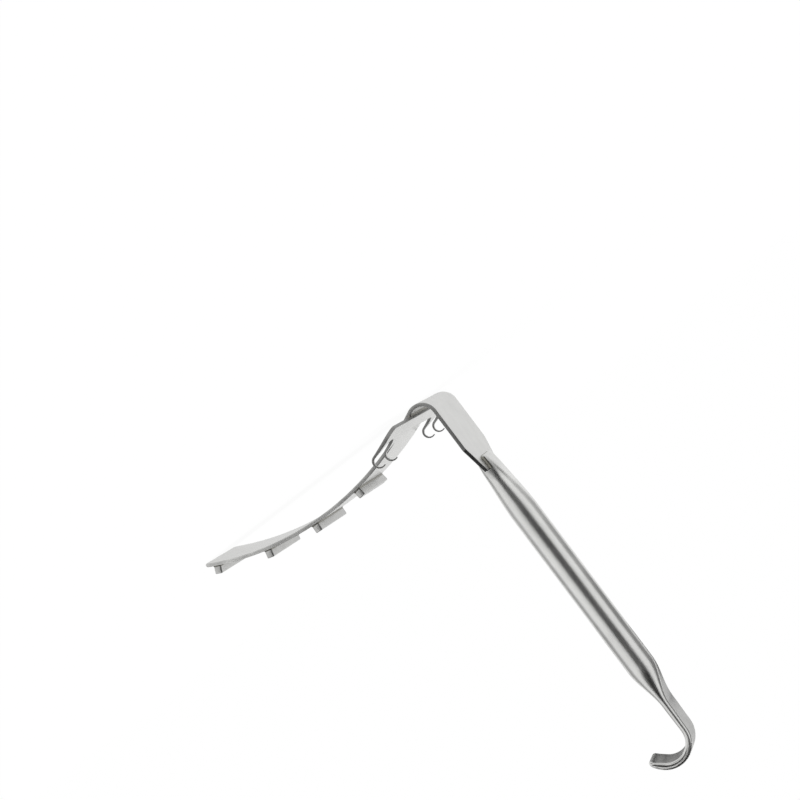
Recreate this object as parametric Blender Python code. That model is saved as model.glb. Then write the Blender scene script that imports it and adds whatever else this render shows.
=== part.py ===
"""Abdominal retractor: a curved blade with four cross bars, a plate of claws and a hooked tube handle.

Metres, +Z up. The instrument stands on the bend of its blade and on the edge of the blade's tip, both
at Z = 0. +X runs towards the tip of the blade, the handle points up, and Y = 0 is the plane of symmetry.
Profiles are worked out from the back of the leg, which is the plane x = 0 of the profile.
"""
import math

import bmesh
import bpy
from mathutils import Matrix, Vector

# The pieces are soldered together, and this is the room that each joint leaves for the solder.
SOLDER_GAP = 0.0003

# Blade, bend, leg and tang are one strip of sheet.
STRIP_THICKNESS = 0.0020
STRIP_WIDTH = 0.0600
BLADE_LENGTH = 0.1550            # back of the leg to the end of the tip
BEND_RADIUS = 0.0090             # outer face of the bend
ARCH_RADIUS = 0.1587             # hollow face of the blade
TIP_CORNER_RADIUS = 0.0030
TANG_SHOULDER_HEIGHT = 0.0350    # where the leg starts to narrow
TANG_END_HEIGHT = 0.0510
TANG_TAPER = math.radians(39.5)  # lean of each narrowing edge from upright
TANG_CORNER_RADIUS = 0.0012
STRIP_EDGE_RADIUS = 0.0003

# Four square bars across the arch of the blade.
BAR_COUNT = 4
BAR_THICKNESS = 0.0041           # along the blade
BAR_HEIGHT = 0.0042              # away from the blade
BAR_INSET = 0.0004               # from the blade's long edge to the bar's end
BAR_EDGE_RADIUS = 0.0005
FIRST_BAR_FROM_TIP = 0.0068      # middle of the first bar to the end of the tip, along the strip
BAR_PITCH = 0.0300               # from bar to bar, along the blade's outer face

# The plate with the claws lies on the arch, next to the bend.
PLATE_WIDTH = 0.1650
PLATE_THICKNESS = 0.0020
PLATE_BEND_MARGIN = 0.0015       # from the end of the bend to the plate
PLATE_EDGE_X = 0.0204            # edge of the plate between the claws, from the back of the leg
PLATE_CORNER_RADIUS = 0.0080
PLATE_EDGE_RADIUS = 0.0003
CLAW_WIDTH = 0.0020
CLAW_SPACING = 0.0280            # clear gap between the two claws of one side
CLAW_ROOT_RADIUS = 0.0140
CLAW_CURL_X = 0.0285             # centre of the curls, from the back of the leg
CLAW_CURL_RADIUS = 0.0038        # outer face of the curls
CLAW_TURN = math.radians(187.0)
CLAW_POINT_THICKNESS = 0.0006
CLAW_POINT_WIDTH = 0.0006
CLAW_POINT_LENGTH = 0.0040

# The handle is one tube, pressed flat on the tang, round along the grip, and flat again for the hook.
TUBE_DIAMETER = 0.0160
TUBE_WALL = 0.0022
TUBE_START_HEIGHT = 0.0429
TUBE_START_THICKNESS = 0.0065
GRIP_START_HEIGHT = 0.0800
GRIP_END_HEIGHT = 0.1835
FLAT_START_HEIGHT = 0.2080
FLAT_THICKNESS = 0.0044
HOOK_CENTRE_HEIGHT = 0.2238
HOOK_RADIUS = 0.0149             # outer face of the hook
HOOK_THICKNESS = 0.0038
HOOK_TURN = math.radians(163.0)
HOOK_TIP_THICKNESS = 0.0022
HOOK_TIP_LENGTH = 0.0080         # over which the hook thins to its tip
HOOK_TIP_CORNER_RADIUS = 0.0040
SLOT_SIDE_ROOM = 0.0010          # how far the slot's cutter reaches past the tube

TUBE_SIDES = 48
BORE_SIDES = 24
HALF_STRIP = STRIP_THICKNESS / 2
TUBE_GIRTH = math.pi * TUBE_DIAMETER


def clear_scene():
    for item in list(bpy.data.objects):
        bpy.data.objects.remove(item, do_unlink=True)


def steel(name, colour, roughness):
    material = bpy.data.materials.new(name)
    material.use_nodes = True
    shader = material.node_tree.nodes["Principled BSDF"]
    shader.inputs["Base Color"].default_value = (*colour, 1.0)
    shader.inputs["Metallic"].default_value = 1.0
    shader.inputs["Roughness"].default_value = roughness
    return material


def add_object(name, mesh_or_bmesh, material, parent):
    """Put a mesh in the scene as one named piece, shaded smooth with sharp corners kept."""
    mesh = mesh_or_bmesh
    if isinstance(mesh_or_bmesh, bmesh.types.BMesh):
        mesh = bpy.data.meshes.new(name)
        mesh_or_bmesh.to_mesh(mesh)
        mesh_or_bmesh.free()
    mesh.shade_smooth()
    mesh.set_sharp_from_angle(angle=math.radians(35))
    piece = bpy.data.objects.new(name, mesh)
    if not mesh.materials:
        mesh.materials.append(None)
    piece.material_slots[0].link = 'OBJECT'
    piece.material_slots[0].material = material
    piece.parent = parent
    bpy.context.collection.objects.link(piece)
    return piece


# Profile of the strip: leg, bend and arch, seen from the side


def lower_meeting_point(centre_a, radius_a, centre_b, radius_b):
    """Lower of the two points where circle a meets circle b."""
    between = centre_b - centre_a
    distance = between.length
    along = (distance ** 2 + radius_a ** 2 - radius_b ** 2) / (2 * distance)
    across = math.sqrt(radius_a ** 2 - along ** 2)
    unit = between / distance
    side = Vector((unit.y, -unit.x))
    points = [centre_a + unit * along + side * across * sign for sign in (1, -1)]
    return min(points, key=lambda point: point.y)


BEND_CENTRE = Vector((BEND_RADIUS, BEND_RADIUS))
TIP_CENTRE = Vector((BLADE_LENGTH - HALF_STRIP, HALF_STRIP))
# The arch is tangent to the bend, and its middle line ends in the rounded tip that stands on Z = 0.
ARCH_CENTRE = lower_meeting_point(BEND_CENTRE, BEND_RADIUS + ARCH_RADIUS,
                                  TIP_CENTRE, ARCH_RADIUS + HALF_STRIP)
TO_ARCH = ARCH_CENTRE - BEND_CENTRE
BEND_END_ANGLE = math.atan2(TO_ARCH.x, -TO_ARCH.y)   # slope of the strip where the bend ends
TO_TIP = TIP_CENTRE - ARCH_CENTRE
TIP_ANGLE = math.atan2(TO_TIP.x, TO_TIP.y)
BEND_TURN = math.pi / 2 + BEND_END_ANGLE

LEG_LENGTH = TANG_END_HEIGHT - BEND_RADIUS
BEND_LENGTH = BEND_TURN * (BEND_RADIUS - HALF_STRIP)
ARCH_LENGTH = (BEND_END_ANGLE + TIP_ANGLE) * (ARCH_RADIUS + HALF_STRIP) + HALF_STRIP
STRIP_LENGTH = LEG_LENGTH + BEND_LENGTH + ARCH_LENGTH


def on_arch(angle, radius):
    """Point of the profile at an angle from the top of the arch, positive towards the tip."""
    return ARCH_CENTRE + Vector((math.sin(angle), math.cos(angle))) * radius


def bend_strip(along, height):
    """Profile point for a distance along the flat strip and a height over its middle plane."""
    if along < LEG_LENGTH:
        return Vector((HALF_STRIP + height, TANG_END_HEIGHT - along))
    along -= LEG_LENGTH
    if along < BEND_LENGTH:
        radius = BEND_RADIUS - HALF_STRIP
        angle = math.pi + along / radius
        return BEND_CENTRE + Vector((math.cos(angle), math.sin(angle))) * (radius - height)
    along -= BEND_LENGTH
    radius = ARCH_RADIUS + HALF_STRIP
    return on_arch(along / radius - BEND_END_ANGLE, radius + height)


# Flat sheet patterns that are rounded at their edges and then bent


def arc(centre, radius, start, end, steps):
    """Points along an arc, angles in radians, both ends included."""
    points = []
    for step in range(steps + 1):
        angle = start + (end - start) * step / steps
        points.append((centre[0] + radius * math.cos(angle), centre[1] + radius * math.sin(angle)))
    return points


def filleted(corners):
    """Outline with a fillet at each corner. A corner is (along, across, fillet radius, steps)."""
    outline = []
    count = len(corners)
    for index, (along, across, radius, steps) in enumerate(corners):
        corner = Vector((along, across))
        if radius == 0.0:
            outline.append(corner)
            continue
        back = (Vector(corners[index - 1][:2]) - corner).normalized()
        ahead = (Vector(corners[(index + 1) % count][:2]) - corner).normalized()
        half = back.angle(ahead) / 2
        centre = corner + (back + ahead).normalized() * (radius / math.sin(half))
        start = corner + back * (radius / math.tan(half)) - centre
        sweep = math.pi - 2 * half
        if back.x * ahead.y - back.y * ahead.x > 0:
            sweep = -sweep
        for step in range(steps + 1):
            outline.append(centre + Matrix.Rotation(sweep * step / steps, 2) @ start)
    return outline


def edge_normals(outline):
    """Inward direction at each point of an anticlockwise outline, scaled so that edges move evenly."""
    normals = []
    count = len(outline)
    for index, point in enumerate(outline):
        before = (point - outline[index - 1]).normalized()
        after = (outline[(index + 1) % count] - point).normalized()
        inward_before = Vector((-before.y, before.x))
        inward_after = Vector((-after.y, after.x))
        middle = (inward_before + inward_after).normalized()
        normals.append(middle / max(middle.dot(inward_before), 0.5))
    return normals


def rounded_sheet(outline, edge_radius, thickness, steps=2):
    """Flat solid with rounded edges. edge_radius is a function of the outline point."""
    area = sum(a.x * b.y - b.x * a.y for a, b in zip(outline, outline[1:] + outline[:1]))
    if area < 0:
        outline = outline[::-1]
    normals = edge_normals(outline)
    radii = [edge_radius(point) for point in outline]
    levels = [(angle, -1) for angle in range(steps + 1)] + [(steps - angle, 1) for angle in range(steps + 1)]
    sheet = bmesh.new()
    rings = []
    for step, side in levels:
        turn = math.pi / 2 * step / steps
        ring = []
        for point, normal, radius in zip(outline, normals, radii):
            inset = point + normal * radius * (1 - math.sin(turn))
            height = side * (thickness / 2 - radius + radius * math.cos(turn))
            ring.append(sheet.verts.new((inset.x, inset.y, height)))
        rings.append(ring)
    count = len(outline)
    for lower, upper in zip(rings, rings[1:]):
        for index in range(count):
            after = (index + 1) % count
            sheet.faces.new((lower[index], lower[after], upper[after], upper[index]))
    sheet.faces.new(rings[0][::-1])
    sheet.faces.new(rings[-1])
    return sheet


def bend_sheet(sheet, stations, bend):
    """Cut the flat solid across at each station, then move every point to its place on the bent sheet."""
    for station in stations:
        geometry = sheet.verts[:] + sheet.edges[:] + sheet.faces[:]
        bmesh.ops.bisect_plane(sheet, geom=geometry, dist=4e-5,
                               plane_co=(station, 0, 0), plane_no=(1, 0, 0))
    for vertex in sheet.verts:
        along, across, height = vertex.co
        profile = bend(along, height)
        vertex.co = (profile.x, across, profile.y)
    return sheet


def spread(start, end, count):
    """Evenly spaced values from start to end, both included."""
    return [start + (end - start) * step / count for step in range(count + 1)]


def build_blade(material, parent):
    half_width = STRIP_WIDTH / 2
    taper_length = TANG_END_HEIGHT - TANG_SHOULDER_HEIGHT
    tang_half = half_width - taper_length * math.tan(TANG_TAPER)
    corners = [
        (STRIP_LENGTH, -half_width, TIP_CORNER_RADIUS, 6),
        (STRIP_LENGTH, half_width, TIP_CORNER_RADIUS, 6),
        (taper_length, half_width, 2 * TANG_CORNER_RADIUS, 3),
        (0.0, tang_half, TANG_CORNER_RADIUS, 4),
        (0.0, -tang_half, TANG_CORNER_RADIUS, 4),
        (taper_length, -half_width, 2 * TANG_CORNER_RADIUS, 3),
    ]
    tip_start = STRIP_LENGTH - TIP_CORNER_RADIUS

    def edge_radius(point):
        # The tip is ground to a full round, and this fades into the plain edge round each corner.
        share = min(max((point.x - tip_start) / TIP_CORNER_RADIUS, 0.0), 1.0)
        return STRIP_EDGE_RADIUS + (HALF_STRIP * 0.98 - STRIP_EDGE_RADIUS) * share

    sheet = rounded_sheet(filleted(corners), edge_radius, STRIP_THICKNESS, steps=3)
    stations = spread(LEG_LENGTH, LEG_LENGTH + BEND_LENGTH, 14)
    stations += spread(LEG_LENGTH + BEND_LENGTH, STRIP_LENGTH - HALF_STRIP, 26)[1:]
    bend_sheet(sheet, stations, bend_strip)
    return add_object("blade", sheet, material, parent)


# Plate with four claws

PLATE_ARC_RADIUS = ARCH_RADIUS + STRIP_THICKNESS + SOLDER_GAP + PLATE_THICKNESS / 2
PLATE_START_ANGLE = PLATE_BEND_MARGIN / PLATE_ARC_RADIUS - BEND_END_ANGLE


def plate_distance(x, radius):
    """Distance along the plate from its bend side to the place at x on a circle round the arch's centre."""
    angle = math.asin((x - ARCH_CENTRE.x) / radius)
    return (angle - PLATE_START_ANGLE) * PLATE_ARC_RADIUS


PLATE_DEPTH = plate_distance(PLATE_EDGE_X, PLATE_ARC_RADIUS)
CURL_CENTRE_RADIUS = PLATE_ARC_RADIUS - PLATE_THICKNESS / 2 + CLAW_CURL_RADIUS
CURL_START = plate_distance(CLAW_CURL_X, CURL_CENTRE_RADIUS)
CURL_START_ANGLE = PLATE_START_ANGLE + CURL_START / PLATE_ARC_RADIUS
CURL_CENTRE = on_arch(CURL_START_ANGLE, CURL_CENTRE_RADIUS)
CURL_MIDDLE_RADIUS = CLAW_CURL_RADIUS - PLATE_THICKNESS / 2
CLAW_END = CURL_START + CLAW_TURN * CURL_MIDDLE_RADIUS


def bend_plate(along, height):
    """Profile point on the plate: round the arch, then round the curl, where the claws get thinner."""
    if along <= CURL_START:
        return on_arch(PLATE_START_ANGLE + along / PLATE_ARC_RADIUS, PLATE_ARC_RADIUS + height)
    share = (along - CURL_START) / (CLAW_END - CURL_START)
    thickness = PLATE_THICKNESS + (CLAW_POINT_THICKNESS - PLATE_THICKNESS) * share
    depth = (height + PLATE_THICKNESS / 2) / PLATE_THICKNESS * thickness
    angle = (along - CURL_START) / CURL_MIDDLE_RADIUS - math.pi / 2 - CURL_START_ANGLE
    return CURL_CENTRE + Vector((math.cos(angle), math.sin(angle))) * (CLAW_CURL_RADIUS - depth)


def claw(outer, inner, start):
    """Outline of one claw, from its outer side round its point to its inner side."""
    middle = (outer + inner) / 2
    shoulder = CLAW_END - CLAW_POINT_LENGTH
    point_half = CLAW_POINT_WIDTH / 2
    side = [Vector((along, outer)) for along in (start, shoulder)]
    tip = [Vector(place) for place in arc((CLAW_END - point_half, middle), point_half,
                                          math.pi / 2, -math.pi / 2, 4)]
    return side + tip + [Vector((along, inner)) for along in (shoulder, start)]


def build_hook_plate(material, parent):
    outer = PLATE_WIDTH / 2
    second = outer - CLAW_WIDTH - CLAW_SPACING
    root = PLATE_DEPTH + CLAW_ROOT_RADIUS
    gap_middle = (outer - CLAW_WIDTH + second) / 2
    corner = PLATE_CORNER_RADIUS
    half = [Vector((0.0, 0.0))]
    half += [Vector(place) for place in arc((corner, outer - corner), corner, math.pi, math.pi / 2, 8)]
    half += claw(outer, outer - CLAW_WIDTH, root)
    half += [Vector(place) for place in arc((root, gap_middle), CLAW_SPACING / 2,
                                            math.pi / 2, 3 * math.pi / 2, 20)][1:-1]
    half += claw(second, second - CLAW_WIDTH, root)
    root_centre = (root, second - CLAW_WIDTH - CLAW_ROOT_RADIUS)
    half += [Vector(place) for place in arc(root_centre, CLAW_ROOT_RADIUS, math.pi / 2, math.pi, 10)][1:]
    half.append(Vector((PLATE_DEPTH, 0.0)))
    outline = half + [Vector((point.x, -point.y)) for point in reversed(half[1:-1])]

    def edge_radius(point):
        # The rounding shrinks with the claw's width towards its point.
        share = min(max((CLAW_END - point.x) / CLAW_POINT_LENGTH, 0.0), 1.0)
        return PLATE_EDGE_RADIUS * (0.4 + 0.6 * share)

    sheet = rounded_sheet(outline, edge_radius, PLATE_THICKNESS, steps=2)
    stations = spread(0.0, CURL_START, 8)[1:] + spread(CURL_START, CLAW_END, 18)[1:-1]
    bend_sheet(sheet, stations, bend_plate)
    return add_object("hook_plate", sheet, material, parent)


# Cross bars


def bar_mesh():
    """Square bar along Y, standing on the plane Z = 0, with its outer edges eased."""
    bar = bmesh.new()
    bmesh.ops.create_cube(bar, size=1.0)
    length = STRIP_WIDTH - 2 * BAR_INSET
    for vertex in bar.verts:
        x, y, z = vertex.co
        vertex.co = (x * BAR_THICKNESS, y * length, (z + 0.5) * BAR_HEIGHT)
    outer_edges = []
    for edge in bar.edges:
        if max(vertex.co.z for vertex in edge.verts) > BAR_HEIGHT / 2:
            outer_edges.append(edge)
    bmesh.ops.bevel(bar, geom=outer_edges, offset=BAR_EDGE_RADIUS, segments=3, profile=0.5, affect='EDGES')
    mesh = bpy.data.meshes.new("bar")
    bar.to_mesh(mesh)
    bar.free()
    return mesh


def build_bars(materials, parent):
    mesh = bar_mesh()
    bars = []
    first_angle = TIP_ANGLE - (FIRST_BAR_FROM_TIP - HALF_STRIP) / (ARCH_RADIUS + HALF_STRIP)
    for index in range(BAR_COUNT):
        angle = first_angle - index * BAR_PITCH / (ARCH_RADIUS + STRIP_THICKNESS)
        seat = on_arch(angle, ARCH_RADIUS + STRIP_THICKNESS + SOLDER_GAP)
        bar = add_object("bar_%d" % (index + 1), mesh, materials[index % len(materials)], parent)
        bar.location = (seat.x, 0.0, seat.y)
        bar.rotation_euler = (0.0, angle, 0.0)
        bars.append(bar)
    return bars


# Handle: a tube whose girth stays the same wherever it is pressed flat


def pressed_ring(thickness, girth, sides):
    """Points round a pressed tube, evenly spaced along its girth. x is its thickness and y its width."""
    flat = (girth - math.pi * thickness) / 2
    bow = math.pi * thickness / 2
    points = []
    for index in range(sides):
        distance = girth * index / sides
        turned = distance >= girth / 2
        if turned:
            distance -= girth / 2
        if distance < bow:
            angle = -math.pi / 2 + math.pi * distance / bow
            y = flat / 2 + thickness / 2 * math.cos(angle)
            x = thickness / 2 * math.sin(angle)
        else:
            y = flat / 2 - (distance - bow)
            x = thickness / 2
        points.append((-x, -y) if turned else (x, y))
    return points


def smooth_step(share):
    share = min(max(share, 0.0), 1.0)
    return share * share * (3 - 2 * share)


def pressed_thickness(height):
    """Thickness of the tube at a height: wedge on the tang, round grip, then the flat strip."""
    if height < GRIP_START_HEIGHT:
        share = (height - TUBE_START_HEIGHT) / (GRIP_START_HEIGHT - TUBE_START_HEIGHT)
        return TUBE_DIAMETER - (TUBE_DIAMETER - TUBE_START_THICKNESS) * (1 - share) ** 1.4
    if height < GRIP_END_HEIGHT:
        return TUBE_DIAMETER
    share = (height - GRIP_END_HEIGHT) / (FLAT_START_HEIGHT - GRIP_END_HEIGHT)
    thickness = TUBE_DIAMETER + (FLAT_THICKNESS - TUBE_DIAMETER) * smooth_step(share)
    share = (height - FLAT_START_HEIGHT) / (HOOK_CENTRE_HEIGHT - FLAT_START_HEIGHT)
    return thickness + (HOOK_THICKNESS - FLAT_THICKNESS) * smooth_step(share)


HOOK_CENTRE_X = HALF_STRIP + HOOK_RADIUS - HOOK_THICKNESS / 2


def handle_stations():
    """Middle line of the handle, as (x, height, turn of the section, thickness, narrowing of each side)."""
    heights = spread(TUBE_START_HEIGHT, GRIP_START_HEIGHT, 12)
    heights += spread(GRIP_START_HEIGHT, GRIP_END_HEIGHT, 4)[1:]
    heights += spread(GRIP_END_HEIGHT, FLAT_START_HEIGHT, 12)[1:]
    heights += spread(FLAT_START_HEIGHT, HOOK_CENTRE_HEIGHT, 5)[1:]
    stations = [(HALF_STRIP, height, 0.0, pressed_thickness(height), 0.0) for height in heights]
    # Even steps round the hook, then closer ones where the tip's corners are rounded off.
    tip_turn = HOOK_TIP_CORNER_RADIUS / HOOK_RADIUS
    turns = spread(0.0, HOOK_TURN - tip_turn, 20)[1:]
    for angle in (15, 30, 45, 60, 75, 86):
        turns.append(HOOK_TURN - tip_turn * (1 - math.sin(math.radians(angle))))
    for turn in turns:
        left = (HOOK_TURN - turn) * HOOK_RADIUS
        thinned = smooth_step(1 - left / HOOK_TIP_LENGTH)
        thickness = HOOK_THICKNESS + (HOOK_TIP_THICKNESS - HOOK_THICKNESS) * thinned
        thickness *= math.sqrt(min(1.0, 0.1 + 1.8 * left / HOOK_TIP_THICKNESS))
        into_corner = max(HOOK_TIP_CORNER_RADIUS - left, 0.0)
        narrowing = HOOK_TIP_CORNER_RADIUS - math.sqrt(HOOK_TIP_CORNER_RADIUS ** 2 - into_corner ** 2)
        radius = HOOK_RADIUS - HOOK_THICKNESS / 2 + (HOOK_THICKNESS - HOOK_TIP_THICKNESS) / 2 * thinned
        x = HOOK_CENTRE_X - radius * math.cos(turn)
        height = HOOK_CENTRE_HEIGHT + radius * math.sin(turn)
        stations.append((x, height, turn, thickness, narrowing))
    return stations


def add_ring(tube, x, height, turn, points):
    """Ring of vertices across the handle's middle line, turned with the hook."""
    ring = []
    for across, y in points:
        ring.append(tube.verts.new((x + across * math.cos(turn), y, height - across * math.sin(turn))))
    return ring


def bridge(tube, rings, flip):
    for lower, upper in zip(rings, rings[1:]):
        count = len(lower)
        for index in range(count):
            after = (index + 1) % count
            corners = (lower[index], lower[after], upper[after], upper[index])
            tube.faces.new(corners[::-1] if flip else corners)


def build_handle(material, parent):
    tube = bmesh.new()
    outside = []
    for x, height, turn, thickness, narrowing in handle_stations():
        points = pressed_ring(thickness, TUBE_GIRTH, TUBE_SIDES)
        half_width = max(y for across, y in points)
        points = [(across, y * (1 - narrowing / half_width)) for across, y in points]
        outside.append(add_ring(tube, x, height, turn, points))
    bridge(tube, outside, False)
    tube.faces.new(outside[-1])
    # The bore follows the outside at the tube's wall and ends where the press has closed it.
    bore_girth = math.pi * (TUBE_DIAMETER - 2 * TUBE_WALL)
    bore = []
    for x, height, turn, thickness, _ in handle_stations():
        hollow = thickness - 2 * TUBE_WALL
        if turn > 0.0 or (height > GRIP_END_HEIGHT and hollow < SOLDER_GAP):
            break
        points = pressed_ring(hollow, bore_girth, BORE_SIDES)
        bore.append(add_ring(tube, x, height, turn, points))
    bridge(tube, bore, True)
    tube.faces.new(bore[-1][::-1])
    mouth = [tube.edges.get((ring[index], ring[(index + 1) % len(ring)]))
             for ring in (outside[0], bore[0]) for index in range(len(ring))]
    bmesh.ops.bridge_loops(tube, edges=mouth)
    bmesh.ops.recalc_face_normals(tube, faces=tube.faces)
    handle = add_object("handle", tube, material, parent)

    # Slot through both sides of the pressed end, which takes the tang.
    slot_top = TANG_END_HEIGHT + SOLDER_GAP
    slot_bottom = TUBE_START_HEIGHT - SLOT_SIDE_ROOM
    cutter_mesh = bmesh.new()
    bmesh.ops.create_cube(cutter_mesh, size=1.0)
    size = (STRIP_THICKNESS + 2 * SOLDER_GAP, TUBE_GIRTH / 2 + 2 * SLOT_SIDE_ROOM, slot_top - slot_bottom)
    for vertex in cutter_mesh.verts:
        vertex.co = [value * length for value, length in zip(vertex.co, size)]
    cutter = add_object("tang_slot", cutter_mesh, material, parent)
    cutter.location = (HALF_STRIP, 0.0, (slot_top + slot_bottom) / 2)
    cutter.hide_render = True
    cutter.display_type = 'WIRE'
    cut = handle.modifiers.new("tang slot", 'BOOLEAN')
    cut.object = cutter
    cut.operation = 'DIFFERENCE'
    cut.solver = 'EXACT'
    return handle


def build():
    clear_scene()
    # The frame's origin lies under the middle of the instrument, between the grip's back and the tip.
    frame = bpy.data.objects.new("retractor", None)
    bpy.context.collection.objects.link(frame)
    back = HALF_STRIP - TUBE_DIAMETER / 2
    frame.location = (-(back + BLADE_LENGTH) / 2, 0.0, 0.0)
    build_blade(steel("satin_steel_blade", (0.60, 0.60, 0.59), 0.28), frame)
    build_hook_plate(steel("satin_steel_plate", (0.58, 0.58, 0.57), 0.30), frame)
    bar_steels = [steel("satin_steel_bar_%d" % (index + 1), (0.57, 0.57, 0.56), 0.30)
                  for index in range(BAR_COUNT)]
    build_bars(bar_steels, frame)
    build_handle(steel("polished_steel_handle", (0.62, 0.62, 0.61), 0.22), frame)
    bpy.context.view_layer.update()


build()
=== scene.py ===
# %% [markdown]
# The looks of an abdominal retractor: a curved steel blade with four cross bars, a plate of claws and a
# tube handle that ends in a flat hook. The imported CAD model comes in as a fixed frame, and every piece
# of steel here is a finer version of one CAD solid, made from the same sizes and standing in the same
# place. Only the solder between them has no CAD solid of its own. Lengths are in metres, +Z is up, and
# the instrument stands on its bend and on the tip of its blade.

# %% Load the CAD frame and keep its box
import math

import bmesh
import bpy
from mathutils import Matrix, Vector


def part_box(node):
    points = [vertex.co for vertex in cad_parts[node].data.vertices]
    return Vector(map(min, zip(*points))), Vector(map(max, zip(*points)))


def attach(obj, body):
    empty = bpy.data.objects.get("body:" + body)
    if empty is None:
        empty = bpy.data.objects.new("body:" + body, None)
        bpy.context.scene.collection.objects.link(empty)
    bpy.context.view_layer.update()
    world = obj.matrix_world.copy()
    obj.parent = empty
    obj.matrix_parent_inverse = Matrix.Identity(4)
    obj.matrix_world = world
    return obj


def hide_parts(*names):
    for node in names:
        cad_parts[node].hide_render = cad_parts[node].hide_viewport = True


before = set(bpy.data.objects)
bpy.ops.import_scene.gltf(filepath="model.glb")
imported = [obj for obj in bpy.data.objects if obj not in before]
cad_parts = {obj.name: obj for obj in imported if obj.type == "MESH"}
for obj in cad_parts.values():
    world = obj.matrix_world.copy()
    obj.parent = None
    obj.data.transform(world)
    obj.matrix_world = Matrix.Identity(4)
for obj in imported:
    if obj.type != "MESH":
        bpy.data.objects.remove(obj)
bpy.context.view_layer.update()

print("CAD nodes:", ", ".join(sorted(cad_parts)))

# %% [markdown]
# Three small helpers serve the whole lesson. Colours are written as sRGB hex values, the way a paint
# program shows them, and Blender's shaders want them linear, so one function converts. The second adds
# a node with its settings and links. An input may be a value, a socket, or the name of an earlier node
# or of one of the tree's own inputs. The third says how far a value has come on its way, for the tapers.

# %% Helpers for colours, nodes and tapers
def linear(code):
    """Linear colour with alpha for an sRGB hex value such as 'C0C0BE'."""
    channels = [int(code[place:place + 2], 16) / 255 for place in (0, 2, 4)]
    return [c / 12.92 if c <= 0.04045 else ((c + 0.055) / 1.055) ** 2.4 for c in channels] + [1.0]


def add_node(tree, kind, name, inputs=(), **settings):
    """Add a node. The inputs are a dictionary by socket, or a list in the order of the sockets."""
    made = tree.nodes.new(kind)
    made.name = made.label = name
    for setting, value in settings.items():
        setattr(made, setting, value)
    given = tree.nodes["in"].outputs if "in" in tree.nodes else {}
    for place, value in inputs.items() if isinstance(inputs, dict) else enumerate(inputs):
        if isinstance(value, str) and value in tree.nodes:
            value = tree.nodes[value].outputs[0]
        elif isinstance(value, str) and value in given:
            value = given[value]
        if isinstance(value, bpy.types.NodeSocket):
            tree.links.new(value, made.inputs[place])
        else:
            made.inputs[place].default_value = value
    return made


def share_between(value, start, end):
    """How far a value has come on the way from start to end, held between 0 and 1."""
    return min(max((value - start) / (end - start), 0.0), 1.0)


# %% [markdown]
# The sizes are the CAD model's. The blade is 155 mm long and 60 mm wide, the claw plate 165 mm wide,
# and the rest was measured from the photographed instrument. A size that follows from others is worked
# out here, so that a piece can't drift away from what it is soldered to.

# %% Sizes of the strip, the bars, the plate and the tube
SOLDER_GAP = 0.0003
FRAME_X = -0.074                 # back of the leg, in the frame of the CAD model

STRIP_THICKNESS = 0.0020
STRIP_WIDTH = 0.0600
BLADE_LENGTH = 0.1550
BEND_RADIUS = 0.0090
ARCH_RADIUS = 0.1587
TIP_CORNER_RADIUS = 0.0030
TANG_SHOULDER_HEIGHT = 0.0350
TANG_END_HEIGHT = 0.0510
TANG_TAPER = math.radians(39.5)
TANG_CORNER_RADIUS = 0.0012
SHEET_EDGE_RADIUS = 0.0003

BAR_COUNT = 4
BAR_THICKNESS = 0.0041
BAR_HEIGHT = 0.0042
BAR_INSET = 0.0004
BAR_EDGE_RADIUS = 0.0005
FIRST_BAR_FROM_TIP = 0.0068
BAR_PITCH = 0.0300

PLATE_WIDTH = 0.1650
PLATE_THICKNESS = 0.0020
PLATE_BEND_MARGIN = 0.0015
PLATE_EDGE_X = 0.0204
PLATE_CORNER_RADIUS = 0.0080
CLAW_WIDTH = 0.0020
CLAW_SPACING = 0.0280
CLAW_ROOT_RADIUS = 0.0140
CLAW_CURL_X = 0.0285
CLAW_CURL_RADIUS = 0.0038
CLAW_TURN = math.radians(187.0)
CLAW_POINT_THICKNESS = 0.0006
CLAW_POINT_WIDTH = 0.0006
CLAW_POINT_LENGTH = 0.0040

TUBE_DIAMETER = 0.0160
TUBE_WALL = 0.0022
TUBE_START_HEIGHT = 0.0429
TUBE_START_THICKNESS = 0.0065
GRIP_START_HEIGHT = 0.0800
GRIP_END_HEIGHT = 0.1835
FLAT_START_HEIGHT = 0.2080
FLAT_THICKNESS = 0.0044
HOOK_CENTRE_HEIGHT = 0.2238
HOOK_RADIUS = 0.0149
HOOK_THICKNESS = 0.0038
HOOK_TURN = math.radians(163.0)
HOOK_TIP_THICKNESS = 0.0022
HOOK_TIP_LENGTH = 0.0080
HOOK_TIP_CORNER_RADIUS = 0.0040

HALF_STRIP = STRIP_THICKNESS / 2


def lower_meeting_point(centre_a, radius_a, centre_b, radius_b):
    """Lower of the two points where circle a meets circle b."""
    between = centre_b - centre_a
    along = (between.length ** 2 + radius_a ** 2 - radius_b ** 2) / (2 * between.length)
    across = math.sqrt(radius_a ** 2 - along ** 2)
    unit = between.normalized()
    side = Vector((unit.y, -unit.x))
    return min((centre_a + unit * along + side * across * sign for sign in (1, -1)), key=lambda p: p.y)


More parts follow.
